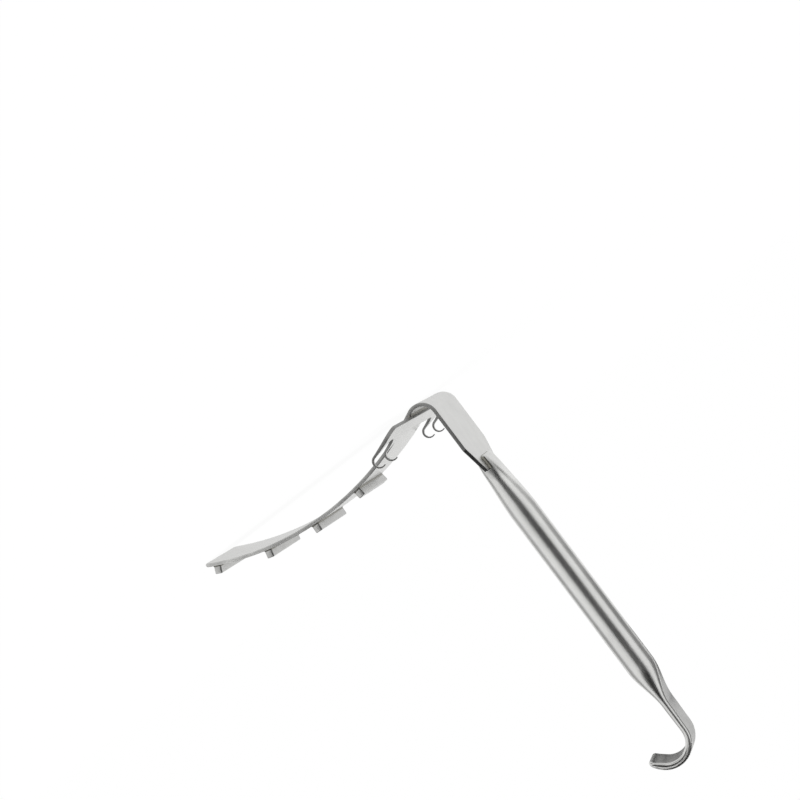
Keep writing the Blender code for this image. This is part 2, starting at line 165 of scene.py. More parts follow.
BEND_CENTRE = Vector((BEND_RADIUS, BEND_RADIUS))
TIP_CENTRE = Vector((BLADE_LENGTH - HALF_STRIP, HALF_STRIP))
ARCH_CENTRE = lower_meeting_point(
    BEND_CENTRE, BEND_RADIUS + ARCH_RADIUS, TIP_CENTRE, ARCH_RADIUS + HALF_STRIP)
BEND_END_ANGLE = math.atan2(ARCH_CENTRE.x - BEND_CENTRE.x, BEND_CENTRE.y - ARCH_CENTRE.y)
TIP_ANGLE = math.atan2(TIP_CENTRE.x - ARCH_CENTRE.x, TIP_CENTRE.y - ARCH_CENTRE.y)
LEG_LENGTH = TANG_END_HEIGHT - BEND_RADIUS
BEND_LENGTH = (math.pi / 2 + BEND_END_ANGLE) * (BEND_RADIUS - HALF_STRIP)
ARCH_LENGTH = (BEND_END_ANGLE + TIP_ANGLE) * (ARCH_RADIUS + HALF_STRIP) + HALF_STRIP
STRIP_LENGTH = LEG_LENGTH + BEND_LENGTH + ARCH_LENGTH


def on_arch(angle, radius):
    """Point in the plane Y = 0 at an angle from the arch's top and a radius from the arch's centre."""
    return Vector((FRAME_X + ARCH_CENTRE.x + math.sin(angle) * radius, 0.0,
                   ARCH_CENTRE.y + math.cos(angle) * radius))


print("strip: leg %.1f, bend %.1f, arch %.1f mm" % (LEG_LENGTH * 1e3, BEND_LENGTH * 1e3, ARCH_LENGTH * 1e3))

# %% [markdown]
# The real blade and claw plate start as flat blanks of 2 mm sheet with their edges broken. So do these:
# an outline is lofted into a thin solid whose edges are rounded, with one more ring just inside the
# rounding, which keeps the flat faces flat when they are shaded smooth. Cuts across the blank give the
# bend its facets later. A Bevel modifier could round the edges too, but it can't grind one end rounder.

# %% Flat blanks with rounded edges
MITRE_LIMIT = 0.5                # at a sharp corner the rounding reaches in at most twice its radius
ROUNDING_COARSE = 0.5            # how coarse a face is where the rounding of its edge begins
CUT_TOLERANCE = 4e-5             # a point this near to a cut counts as lying on it


def arc(centre, radius, start, end, steps):
    """Points along an arc, angles in radians, both ends included."""
    angles = [start + (end - start) * step / steps for step in range(steps + 1)]
    return [Vector((centre[0] + radius * math.cos(a), centre[1] + radius * math.sin(a))) for a in angles]


def filleted(corners):
    """Outline with a fillet at each corner. A corner is (along, across, fillet radius, steps)."""
    outline = []
    for index, (along, across, radius, steps) in enumerate(corners):
        corner = Vector((along, across))
        back = (Vector(corners[index - 1][:2]) - corner).normalized()
        ahead = (Vector(corners[(index + 1) % len(corners)][:2]) - corner).normalized()
        half = back.angle(ahead) / 2
        centre = corner + (back + ahead).normalized() * (radius / math.sin(half))
        start = corner + back * (radius / math.tan(half)) - centre
        sweep = math.pi - 2 * half
        if back.x * ahead.y - back.y * ahead.x > 0:
            sweep = -sweep
        outline += [centre + Matrix.Rotation(sweep * step / steps, 2) @ start for step in range(steps + 1)]
    return outline


def rounded_blank(outline, edge_radius, thickness, steps=4, support=0.0004, cut=lambda point: 1.0):
    """Flat solid round the plane Z = 0. edge_radius and cut depend on the point; cut is how coarse its side
    is, and on some pieces it holds painted shade as well.
    """
    if sum(a.cross(b) for a, b in zip(outline, outline[1:] + outline[:1])) < 0:
        outline = outline[::-1]
    normals = []
    for index, point in enumerate(outline):
        before = (point - outline[index - 1]).normalized()
        after = (outline[(index + 1) % len(outline)] - point).normalized()
        inward = [Vector((-side.y, side.x)) for side in (before, after)]
        middle = (inward[0] + inward[1]).normalized()
        normals.append(middle / max(middle.dot(inward[0]), MITRE_LIMIT))
    blank = bmesh.new()
    coarse = blank.verts.layers.float.new("coarse")
    rings = []
    for side in (-1, 1):
        levels = [None] + list(range(steps + 1))
        for step in levels if side < 0 else levels[::-1]:
            ring = []
            for point, normal in zip(outline, normals):
                radius = edge_radius(point)
                turn = math.pi / 2 * (step or 0) / steps
                inset = radius * (1 - math.sin(turn)) + (support if step is None else 0.0)
                height = side * (thickness / 2 - radius + radius * math.cos(turn))
                ring.append(blank.verts.new((*(point + normal * inset), height)))
                ring[-1][coarse] = {None: 0.0, 0: ROUNDING_COARSE}.get(step, 1.0) * cut(point)
            rings.append(ring)
    count = len(outline)
    for lower, upper in zip(rings, rings[1:]):
        for index in range(count):
            after = (index + 1) % count
            blank.faces.new((lower[index], lower[after], upper[after], upper[index]))
    blank.faces.new(rings[0][::-1])
    blank.faces.new(rings[-1])
    return blank


def cut_across(blank, stations):
    """Cut the blank across at each distance along it, so that it can bend there."""
    for station in stations:
        geometry = blank.verts[:] + blank.edges[:] + blank.faces[:]
        bmesh.ops.bisect_plane(
            blank, geom=geometry, dist=CUT_TOLERANCE, plane_co=(station, 0, 0), plane_no=(1, 0, 0))


def spread(start, end, count):
    """Evenly spaced values from start to end, both included."""
    return [start + (end - start) * step / count for step in range(count + 1)]


def as_object(name, mesh):
    """Object with that mesh, or a mesh made from a bmesh, at the origin."""
    if isinstance(mesh, bmesh.types.BMesh):
        made = bpy.data.meshes.new(name)
        mesh.to_mesh(made)
        mesh.free()
        mesh = made
    piece = bpy.data.objects.new(name, mesh)
    bpy.context.scene.collection.objects.link(piece)
    return piece


def stand_in(piece, node):
    """Let a piece stand for a CAD node, and print both boxes in millimetres."""
    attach(piece, "root")
    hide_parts(node)
    points = [vertex.co for vertex in piece.data.vertices]
    own = [[pick(point[axis] for point in points) for axis in range(3)] for pick in (min, max)]
    for name, box in ((piece.name, own), ("CAD " + node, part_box(node))):
        print("  box of %s:" % name, [round(value * 1e3, 2) for corner in box for value in corner])


# %% [markdown]
# Every bend of this instrument is a roll: a length of metal is wrapped round a cylinder and what lies
# beyond it swings along stiffly. That one rule makes the bend at the leg, the arch, the curled claws and
# the handle's hook, so it is one Geometry Nodes group with the inputs Start, Length and Radius. A
# positive radius curls towards +Z and a negative one towards -Z. The Simple Deform modifier bends too,
# but it bends a whole object, and these pieces bend in stretches of an exact length.

# %% Node group that rolls a stretch of metal round a cylinder
FLOAT = "NodeSocketFloat"
VECTOR = "NodeSocketVector"
METAL = ("Metal", "NodeSocketMaterial", None)


def new_tree(name, inputs):
    """Geometry Nodes tree with a Geometry input and output and the named inputs: (name, kind, value)."""
    tree = bpy.data.node_groups.new(name, "GeometryNodeTree")
    for way in ('INPUT', 'OUTPUT'):
        tree.interface.new_socket("Geometry", in_out=way, socket_type="NodeSocketGeometry")
    for title, kind, value in inputs:
        socket = tree.interface.new_socket(title, in_out='INPUT', socket_type=kind)
        if value is not None:
            socket.default_value = value
    add_node(tree, "NodeGroupInput", "in")
    return tree


def end_tree(tree, geometry):
    """End a tree that makes a piece: real geometry, then its metal, then the output."""
    add_node(tree, "GeometryNodeRealizeInstances", "real", [geometry])
    add_node(tree, "GeometryNodeSetMaterial", "metal", {"Geometry": "real", "Material": "Metal"})
    add_node(tree, "NodeGroupOutput", "out", ["metal"])
    print("tree to %s: %d nodes" % (tree.name, len(tree.nodes)))


roll = new_tree("roll a stretch", [("Start", FLOAT, 0.0), ("Length", FLOAT, 0.1), ("Radius", FLOAT, 0.1)])
add_node(roll, "GeometryNodeInputPosition", "position")
place = add_node(roll, "ShaderNodeSeparateXYZ", "place", ["position"]).outputs
for name, operation, *values in (
        ("beyond start", 'SUBTRACT', place[0], "Start"),
        ("not negative", 'MAXIMUM', "beyond start", 0.0),
        ("rolled length", 'MINIMUM', "not negative", "Length"),
        ("stiff length", 'SUBTRACT', "beyond start", "rolled length"),
        ("angle", 'DIVIDE', "rolled length", "Radius"),
        ("sine", 'SINE', "angle"),
        ("cosine", 'COSINE', "angle"),
        ("to the axis", 'SUBTRACT', "Radius", place[2]),
        ("swung", 'MULTIPLY_ADD', "to the axis", "sine", "Start"),
        ("x", 'MULTIPLY_ADD', "stiff length", "cosine", "swung"),
        ("drop", 'MULTIPLY', "to the axis", "cosine"),
        ("rise", 'SUBTRACT', "Radius", "drop"),
        ("z", 'MULTIPLY_ADD', "stiff length", "sine", "rise")):
    add_node(roll, "ShaderNodeMath", name, values, operation=operation)
add_node(roll, "ShaderNodeCombineXYZ", "new place", ["x", place[1], "z"])
add_node(roll, "GeometryNodeSetPosition", "moved", {"Geometry": "Geometry", "Position": "new place"})
add_node(roll, "NodeGroupOutput", "out", ["moved"])
print("roll group:", len(roll.nodes), "nodes")

# %% [markdown]
# Two rolls in a row shape each sheet piece, the one farther along the blank first, and a Transform then
# sets the piece upright. Before that the tree stores each point's place on the flat blank, so that the
# grain of the metal can follow the bends. A tree's inputs are set through their identifiers, and the
# evaluated result is copied into a plain mesh, so that no live modifier is left.

# %% Tree that bends a blank twice, and the step from a tree to a plain mesh
bend_twice = new_tree("bend a blank twice", [
    ("Far start", FLOAT, 0.0), ("Far length", FLOAT, 0.1), ("Far radius", FLOAT, 0.1),
    ("Near start", FLOAT, 0.0), ("Near length", FLOAT, 0.1), ("Near radius", FLOAT, 0.1),
    ("Turn about Y", FLOAT, 0.0), ("Place", VECTOR, (0.0, 0.0, 0.0)), METAL])
add_node(bend_twice, "GeometryNodeInputPosition", "flat place")
add_node(bend_twice, "GeometryNodeStoreNamedAttribute", "blank",
         {"Geometry": "Geometry", "Name": "flat", "Value": "flat place"}, data_type='FLOAT_VECTOR')
for name, before, which in (("far roll", "blank", "Far"), ("near roll", "far roll", "Near")):
    add_node(bend_twice, "GeometryNodeGroup", name, {
        "Geometry": before, "Start": which + " start", "Length": which + " length",
        "Radius": which + " radius"}, node_tree=roll)
add_node(bend_twice, "ShaderNodeCombineXYZ", "turn", {"Y": "Turn about Y"})
add_node(bend_twice, "GeometryNodeTransform", "upright",
         {"Geometry": "near roll", "Rotation": "turn", "Translation": "Place"})
end_tree(bend_twice, "upright")


def run_tree(name, blank, tree, inputs, sharp_angle=35.0):
    """Run a tree on a blank and return the result as a plain object of that name."""
    source = as_object(name + "_blank", blank)
    modifier = source.modifiers.new("tree", 'NODES')
    modifier.node_group = tree
    for socket in tree.interface.items_tree:
        if socket.in_out == 'INPUT' and socket.name in inputs:
            modifier[socket.identifier] = inputs[socket.name]
    source.update_tag()
    bpy.context.view_layer.update()
    depsgraph = bpy.context.evaluated_depsgraph_get()
    mesh = bpy.data.meshes.new_from_object(source.evaluated_get(depsgraph), depsgraph=depsgraph)
    source.modifiers.remove(modifier)
    bpy.data.objects.remove(source)
    mesh.name = name
    mesh.shade_smooth()
    mesh.set_sharp_from_angle(angle=math.radians(sharp_angle))
    made = as_object(name, mesh)
    sides = [round(side * 1e3, 1) for side in made.dimensions]
    print("%s: %d faces, %s mm" % (name, len(mesh.polygons), sides))
    return made


# %% [markdown]
# All of it is stainless steel, but each piece is finished in its own way: faces are brushed to a satin or
# polished, and cut edges keep the coarser marks of the file. One function makes these steels, because
# they differ only in tone, roughness and lines. The lines are noise stretched along the flat blank, so
# they follow every bend, which an image texture would need a seam for. The attribute "coarse" says how
# unpolished a place was left, and in some places it holds painted shade too, which darkens the colour
# the same way. Where it changes, along an edge, hands and trays have rubbed it bright.

# %% Stainless steels, brushed along the blank
MOTTLE_SIZE = 0.012              # soft clouds left by polishing by hand
MOTTLE_TONE = 0.32               # difference between the lightest and the darkest cloud
MOTTLE_DEPTH = 0.01              # depth of a cloud, as a share of its size
MOTTLE_RELIEF = 0.5
SCRATCH_SIZE = (0.0120, 0.0003, 0.0003)      # marks of use, about 0.02 mm wide on real steel, drawn wider
SCRATCH_TURN = 0.5               # in radians: the scratches run askew to the brushing
SCRATCH_NOISE = (0.66, 0.72)     # only the peaks of the noise are scratches, so there are few
SCRATCH_TONE = 0.08
RUBBED_NOISE = (0.42, 0.60)      # an edge is rubbed bright in some places only
LINE_DEPTH = 0.015               # depth of a line, as a share of its width
LINE_RELIEF = 0.2                # the lines are shallow: they soften a reflection and hardly break it up
LINE_ROUGHNESS = 0.10
CLOUD_ROUGHNESS = 0.08
COARSE_ROUGHNESS = 0.12
WORN_ROUGHNESS = -0.30


def steel(name, code, roughness, lines, line_tone, coarse_tone, worn_tone):
    """Steel with lines of that length, width and depth in metres. The tones are shares of the colour."""
    material = bpy.data.materials.new(name)
    material.use_nodes = True
    tree = material.node_tree
    flat = add_node(tree, "ShaderNodeAttribute", "blank place", attribute_name="flat").outputs["Vector"]
    coarse = add_node(tree, "ShaderNodeAttribute", "coarse", attribute_name="coarse").outputs["Fac"]
    place = add_node(tree, "ShaderNodeTexCoord", "place").outputs["Object"]
    add_node(tree, "ShaderNodeVectorMath", "along the lines",
             [flat, [1 / size for size in lines]], operation='MULTIPLY')
    add_node(tree, "ShaderNodeTexNoise", "lines", {"Vector": "along the lines", "Scale": 1.0, "Detail": 2.0})
    add_node(tree, "ShaderNodeTexNoise", "mottle", {"Vector": place, "Scale": 1 / MOTTLE_SIZE, "Detail": 2.0})
    add_node(tree, "ShaderNodeVectorRotate", "askew",
             {"Vector": flat, "Angle": SCRATCH_TURN}, rotation_type='Z_AXIS')
    add_node(tree, "ShaderNodeVectorMath", "along the scratches",
             ["askew", [1 / size for size in SCRATCH_SIZE]], operation='MULTIPLY')
    add_node(tree, "ShaderNodeTexNoise", "scratch noise", {"Vector": "along the scratches", "Scale": 1.0})
    for title, source, (low, high) in (
            ("scratches", "scratch noise", SCRATCH_NOISE), ("rubbed", "mottle", RUBBED_NOISE)):
        add_node(tree, "ShaderNodeMapRange", title, {"Value": source, "From Min": low, "From Max": high})
    for title, operation, *values in (
            ("polished share", 'SUBTRACT', 1.0, coarse),
            ("at an edge", 'MULTIPLY', "polished share", coarse),
            ("worn", 'MULTIPLY', "at an edge", "rubbed"),
            # Noise lies round a half, so half of its tone comes off the colour again.
            ("line shade", 'MULTIPLY_ADD', "lines", line_tone, 1 - line_tone / 2),
            ("mottle shade", 'MULTIPLY_ADD', "mottle", MOTTLE_TONE, 1 - MOTTLE_TONE / 2),
            ("scratch shade", 'MULTIPLY_ADD', "scratches", SCRATCH_TONE, 1.0),
            # At an edge the product of the coarse and the polished share is a quarter at most.
            ("worn shade", 'MULTIPLY_ADD', "worn", 4 * worn_tone, 1.0),
            # Coarse places are darker: file marks, and painted shade where a piece stores it in its coarse
            # share.
            ("coarse shade", 'MULTIPLY_ADD', coarse, coarse_tone - 1, 1.0),
            ("shade of both", 'MULTIPLY', "line shade", "mottle shade"),
            ("shade with scratches", 'MULTIPLY', "shade of both", "scratch shade"),
            ("shade with wear", 'MULTIPLY', "shade with scratches", "worn shade"),
            ("shade", 'MULTIPLY', "shade with wear", "coarse shade"),
            ("rough lines", 'MULTIPLY_ADD', "lines", LINE_ROUGHNESS,
             roughness - (LINE_ROUGHNESS + CLOUD_ROUGHNESS) / 2),
            ("rough clouds", 'MULTIPLY_ADD', "mottle", CLOUD_ROUGHNESS, "rough lines"),
            ("rough edges", 'MULTIPLY_ADD', coarse, COARSE_ROUGHNESS, "rough clouds"),
            ("roughness", 'MULTIPLY_ADD', "worn", WORN_ROUGHNESS, "rough edges")):
        add_node(tree, "ShaderNodeMath", title, values, operation=operation)
    add_node(tree, "ShaderNodeVectorMath", "colour",
             {0: linear(code)[:3], "Scale": "shade"}, operation='SCALE')
    add_node(tree, "ShaderNodeBump", "line relief", {
        "Height": "lines", "Strength": LINE_RELIEF, "Distance": LINE_DEPTH * lines[2]})
    add_node(tree, "ShaderNodeBump", "relief", {
        "Height": "mottle", "Strength": MOTTLE_RELIEF, "Distance": MOTTLE_DEPTH * MOTTLE_SIZE,
        "Normal": "line relief"})
    shader = tree.nodes["Principled BSDF"]
    shader.inputs["Metallic"].default_value = 1.0
    for socket, source in (("Base Color", "colour"), ("Roughness", "roughness"), ("Normal", "relief")):
        tree.links.new(tree.nodes[source].outputs[0], shader.inputs[socket])
    print("%s: %s, roughness %.2f, lines %.1f mm apart" % (name, code, roughness, lines[2] * 1e3))
    return material


# Rolled sheet, brushed lengthways: a soft light grey sheen. Brush lines are 0.1 mm apart and drawn at 1 mm.
sheet_metal = steel("satin stainless sheet", "CECECC", 0.32, (0.030, 0.0010, 0.0010), 0.16, 0.42, 0.20)
# Square bar, ground along its length and less bright than the sheet.
bar_metal = steel("ground stainless bar", "BCBCBA", 0.34, (0.0008, 0.020, 0.0008), 0.18, 0.35, 0.10)
# Drawn tube, polished with a belt along its length: dark and light bands with soft borders.
tube_metal = steel("polished stainless tube", "DDDDDB", 0.30, (0.040, 0.0008, 0.0008), 0.08, 0.45, 0.0)
# Silver solder, wire brushed after soldering: duller and a little yellower than the steel.
solder_metal = steel("silver solder", "8C8A82", 0.42, (0.0010, 0.0010, 0.0010), 0.20, 1.0, 0.0)

# %% [markdown]
# The blade, its bend, the leg and the tang in the handle are one strip. The tip is ground to a full
# round and the other edges are only broken. The strip could be modelled in its bent form as well, but a
# flat blank keeps the real length of metal, and its brushing follows the bend by itself.

# %% Blade strip
TIP_EDGE_RADIUS = 0.98 * HALF_STRIP          # a full round, just short of where both faces would meet
# The tip's edge is left nearly smooth, which paints a highlight on it.
TIP_GLINT_CUT = 0.1                    # how coarse the edge still is at the tip
BEND_CUTS = 32
ARCH_CUTS = 64
half_width = STRIP_WIDTH / 2
taper_length = TANG_END_HEIGHT - TANG_SHOULDER_HEIGHT
tang_half = half_width - taper_length * math.tan(TANG_TAPER)
strip_outline = filleted([
    (STRIP_LENGTH, -half_width, TIP_CORNER_RADIUS, 12), (STRIP_LENGTH, half_width, TIP_CORNER_RADIUS, 12),
    (taper_length, half_width, 2 * TANG_CORNER_RADIUS, 6), (0.0, tang_half, TANG_CORNER_RADIUS, 6),
    (0.0, -tang_half, TANG_CORNER_RADIUS, 6), (taper_length, -half_width, 2 * TANG_CORNER_RADIUS, 6)])


def strip_edge(point):
    """Edge radius of the strip: a full round at the tip, which fades out round each corner."""
    share = share_between(point.x, STRIP_LENGTH - TIP_CORNER_RADIUS, STRIP_LENGTH)
    return SHEET_EDGE_RADIUS + (TIP_EDGE_RADIUS - SHEET_EDGE_RADIUS) * share


def strip_cut_and_glint(point):
    """The edges keep their file marks from the leg to the arch and fade to nearly smooth at the tip: painted
    shade along the edge and a painted highlight at the tip.
    """
    share = share_between(point.x, STRIP_LENGTH, STRIP_LENGTH - ARCH_LENGTH)
    return TIP_GLINT_CUT + (1 - TIP_GLINT_CUT) * math.sqrt(share)


strip = rounded_blank(strip_outline, strip_edge, STRIP_THICKNESS, cut=strip_cut_and_glint)
cut_across(strip, spread(LEG_LENGTH, LEG_LENGTH + BEND_LENGTH, BEND_CUTS))
cut_across(strip, spread(LEG_LENGTH + BEND_LENGTH, STRIP_LENGTH - HALF_STRIP, ARCH_CUTS)[1:])
blade = run_tree("blade_strip", strip, bend_twice, {
    "Far start": LEG_LENGTH + BEND_LENGTH, "Far length": ARCH_LENGTH, "Far radius": -ARCH_RADIUS - HALF_STRIP,
    "Near start": LEG_LENGTH, "Near length": BEND_LENGTH, "Near radius": BEND_RADIUS - HALF_STRIP,
    "Turn about Y": math.pi / 2, "Place": (FRAME_X + HALF_STRIP, 0.0, TANG_END_HEIGHT), "Metal": sheet_metal})
stand_in(blade, "blade")

# %% [markdown]
# The claw plate holds back the edge of the wound. It is one sheet with four claws left standing on its
# front edge, bent along the arch of the blade, and the claws are then curled up and back. The outline is
# drawn as one half and mirrored, and the round gaps between the claws come from plain arcs.

# %% Claw plate
CLAW_EDGE_SHARE = 0.4            # the edge radius at a claw's point, as a share of the plate's
PLATE_ARC_RADIUS = ARCH_RADIUS + STRIP_THICKNESS + SOLDER_GAP + PLATE_THICKNESS / 2
PLATE_START_ANGLE = PLATE_BEND_MARGIN / PLATE_ARC_RADIUS - BEND_END_ANGLE


def plate_distance(x, radius):
    """Distance along the plate to the place at x on a circle round the arch's centre."""
    return (math.asin((x - ARCH_CENTRE.x) / radius) - PLATE_START_ANGLE) * PLATE_ARC_RADIUS


PLATE_DEPTH = plate_distance(PLATE_EDGE_X, PLATE_ARC_RADIUS)
CURL_START = plate_distance(CLAW_CURL_X, PLATE_ARC_RADIUS - PLATE_THICKNESS / 2 + CLAW_CURL_RADIUS)
CURL_MIDDLE_RADIUS = CLAW_CURL_RADIUS - PLATE_THICKNESS / 2
CURL_LENGTH = CLAW_TURN * CURL_MIDDLE_RADIUS
CLAW_END = CURL_START + CURL_LENGTH


def claw(outer, inner, start):
    """Outline of one claw, from its outer side round its point to its inner side."""
    point_half = CLAW_POINT_WIDTH / 2
    point = arc((CLAW_END - point_half, (outer + inner) / 2), point_half, math.pi / 2, -math.pi / 2, 6)
    shoulder = CLAW_END - CLAW_POINT_LENGTH
    return [Vector((start, outer)), Vector((shoulder, outer))] + point + [
        Vector((shoulder, inner)), Vector((start, inner))]


outer = PLATE_WIDTH / 2
second = outer - CLAW_WIDTH - CLAW_SPACING
root = PLATE_DEPTH + CLAW_ROOT_RADIUS
corner = (PLATE_CORNER_RADIUS, outer - PLATE_CORNER_RADIUS)
between_claws = (root, second + CLAW_SPACING / 2)
beside_claws = (root, second - CLAW_WIDTH - CLAW_ROOT_RADIUS)
half_outline = [Vector((0.0, 0.0))]
half_outline += arc(corner, PLATE_CORNER_RADIUS, math.pi, math.pi / 2, 16)
half_outline += claw(outer, outer - CLAW_WIDTH, root)
half_outline += arc(between_claws, CLAW_SPACING / 2, math.pi / 2, 3 * math.pi / 2, 40)[1:-1]
half_outline += claw(second, second - CLAW_WIDTH, root)
half_outline += arc(beside_claws, CLAW_ROOT_RADIUS, math.pi / 2, math.pi, 20)[1:]
half_outline.append(Vector((PLATE_DEPTH, 0.0)))
plate_outline = half_outline + [Vector((p.x, -p.y)) for p in reversed(half_outline[1:-1])]


def plate_edge(point):
    """Edge radius of the plate, smaller towards the points of the claws."""
    share = share_between(point.x, CLAW_END, CLAW_END - CLAW_POINT_LENGTH)
    return SHEET_EDGE_RADIUS * (CLAW_EDGE_SHARE + (1 - CLAW_EDGE_SHARE) * share)


sheet = rounded_blank(plate_outline, plate_edge, PLATE_THICKNESS, steps=3, support=0.0001)
cut_across(sheet, spread(0.0, CURL_START, 16)[1:] + spread(CURL_START, CLAW_END, 36)[1:-1])
for vertex in sheet.verts:
    # The claws are forged thinner towards their points, on the side that will be the inside of the curl.
    share = share_between(vertex.co.x, PLATE_DEPTH, CLAW_END)
    thinning = 1 + (CLAW_POINT_THICKNESS / PLATE_THICKNESS - 1) * share
    vertex.co.z = (vertex.co.z + PLATE_THICKNESS / 2) * thinning - PLATE_THICKNESS / 2
plate = run_tree("claw_plate", sheet, bend_twice, {
    "Far start": CURL_START, "Far length": CURL_LENGTH, "Far radius": CURL_MIDDLE_RADIUS,
    "Near start": 0.0, "Near length": CURL_START, "Near radius": -PLATE_ARC_RADIUS,
    "Turn about Y": PLATE_START_ANGLE, "Place": on_arch(PLATE_START_ANGLE, PLATE_ARC_RADIUS),
    "Metal": sheet_metal})
stand_in(plate, "hook_plate")

# %% [markdown]
# The handle is one round tube, pressed flat at both ends. Pressing doesn't change the length of metal
# round the tube, so a flatter section is a wider one: two straight sides and two half-round bows whose
# girth is always that of the round tube. The tree takes a plain round tube and moves every point along
# its own girth to the pressed section at its station. The slot for the tang is sawn with a Mesh Boolean
# node, and the same roll as before makes the hook.

# %% Tree that presses a round tube at a constant girth, slots it and rolls its hook
HOOK_MIDDLE_RADIUS = HOOK_RADIUS - HOOK_THICKNESS / 2
HOOK_START = HOOK_CENTRE_HEIGHT - TUBE_START_HEIGHT
HOOK_LENGTH = HOOK_TURN * HOOK_MIDDLE_RADIUS
TUBE_LENGTH = HOOK_START + HOOK_LENGTH
SWELL_POWER = 1.4                # how soon the pressed start swells towards the round grip
BOW_POWER = 0.60                 # the bows beside the tang are pressed square: below one fills their corners
SQUARED_START = (0.0012, 0.0)    # they get rounder again towards the sawn end
SQUARED_END = (0.004, 0.018)     # and towards the grip
TIP_ROUND_START = 0.1            # the very tip keeps the square root of this share of its thickness
TIP_ROUND_RATE = 1.8             # and has all of it half a thickness further in
SAW_ROOM = 0.001                 # how far the saw stands out of the tube

press = new_tree("press a tube", [(title, FLOAT, 0.01) for title in (
    "Diameter", "Start thickness", "Grip start", "Grip end", "Flat start", "Flat thickness", "Hook start",
    "Hook thickness", "Hook length", "Hook radius", "Tip length", "Tip thickness", "Tip corner",
    "Slot length", "Slot thickness")] + [("Place", VECTOR, (0.0, 0.0, 0.0)), METAL])
add_node(press, "GeometryNodeInputPosition", "position")
place = add_node(press, "ShaderNodeSeparateXYZ", "place", ["position"]).outputs
for name, operation, *values in (
        ("y squared", 'MULTIPLY', place[1], place[1]),
        ("sum of squares", 'MULTIPLY_ADD', place[2], place[2], "y squared"),
        ("wall radius", 'SQRT', "sum of squares"),
        ("polar angle", 'ARCTAN2', place[2], place[1]),
        ("quarter on", 'ADD', "polar angle", 2.5 * math.pi),
        ("round angle", 'MODULO', "quarter on", 2 * math.pi),
        ("second half", 'GREATER_THAN', "round angle", math.pi - 1e-5),
        ("local angle", 'MULTIPLY_ADD', "second half", -math.pi, "round angle"),
        ("sign", 'MULTIPLY_ADD', "second half", -2.0, 1.0),
        ("way round", 'MULTIPLY', "local angle", "wall radius"),
        # Thickness over the tang: it grows from the start thickness to the round grip.
        ("wedge share", 'DIVIDE', place[0], "Grip start"),
        ("wedge left", 'SUBTRACT', 1.0, "wedge share"),
        ("wedge left or none", 'MAXIMUM', "wedge left", 0.0),
        ("wedge curve", 'POWER', "wedge left or none", SWELL_POWER),
        ("wedge depth", 'SUBTRACT', "Start thickness", "Diameter"),
        ("with wedge", 'MULTIPLY_ADD', "wedge curve", "wedge depth", "Diameter"),
        ("flat change", 'SUBTRACT', "Flat thickness", "Diameter"),
        ("hook change", 'SUBTRACT', "Hook thickness", "Flat thickness"),
        ("tip change", 'SUBTRACT', "Tip thickness", "Hook thickness"),
        # Length left to the tip, along the outside of the hook.
        ("end", 'ADD', "Hook start", "Hook length"),
        ("left in the middle", 'SUBTRACT', "end", place[0]),
        ("outer share", 'DIVIDE', "Hook thickness", "Hook radius"),
        ("outer scale", 'MULTIPLY_ADD', "outer share", 0.5, 1.0),
        ("left", 'MULTIPLY', "left in the middle", "outer scale"),
        ("share round", 'DIVIDE', "round angle", 2 * math.pi),
        ("twice round", 'MULTIPLY', "share round", 2.0),
        ("share of a half", 'FRACT', "twice round"),
        ("before the hook", 'SUBTRACT', "Hook start", 0.002),
        ("in the hook", 'ADD', "Hook start", 0.006)):
    add_node(press, "ShaderNodeMath", name, values, operation=operation)
for name, value, start, stop, low, high in (
        ("rounder at the sawn end", place[0], *SQUARED_START, BOW_POWER, 1.0),
        ("rounder towards the grip", place[0], *SQUARED_END, BOW_POWER, 1.0),
        ("flattening", place[0], "Grip end", "Flat start", 0.0, "flat change"),
        ("to hook", place[0], "Flat start", "Hook start", 0.0, "hook change"),
        ("to tip", "left", "Tip length", 0.0, 0.0, "tip change"),
        # The tube's coarse share darkens it: painted shade inside the hook and on the bows beside the tang,
        # a little on the cheeks there, and a flat strip a little darker than the grip; the very tip is left
        # out of the painted shade. A share round counts along the girth: the far bow comes first, then the
        # outer side, the near bow and the inner side.
        ("on the inside", "share round", 0.630, 0.670, 0.0, 1.0),
        ("not on the far bow", "share round", 0.999, 0.985, 0.0, 1.0),
        ("hooked", place[0], "before the hook", "in the hook", 0.0, 0.06),
        ("beside the tang", place[0], 0.018, 0.008, 0.0, 0.8),
        ("off the outer cheek", "share of a half", 0.08, 0.18, 0.3, 1.0),
        ("off the inner cheek", "share of a half", 0.36, 0.26, 0.3, 1.0),
        ("on the strip", place[0], "Grip end", "Flat start", 0.0, 0.10),
        ("not at the very tip", "left", 0.0005, 0.0030, 0.0, 1.0)):
    add_node(press, "ShaderNodeMapRange", name, {
        "Value": value, "From Min": start, "From Max": stop, "To Min": low, "To Max": high},
        interpolation_type='SMOOTHSTEP')
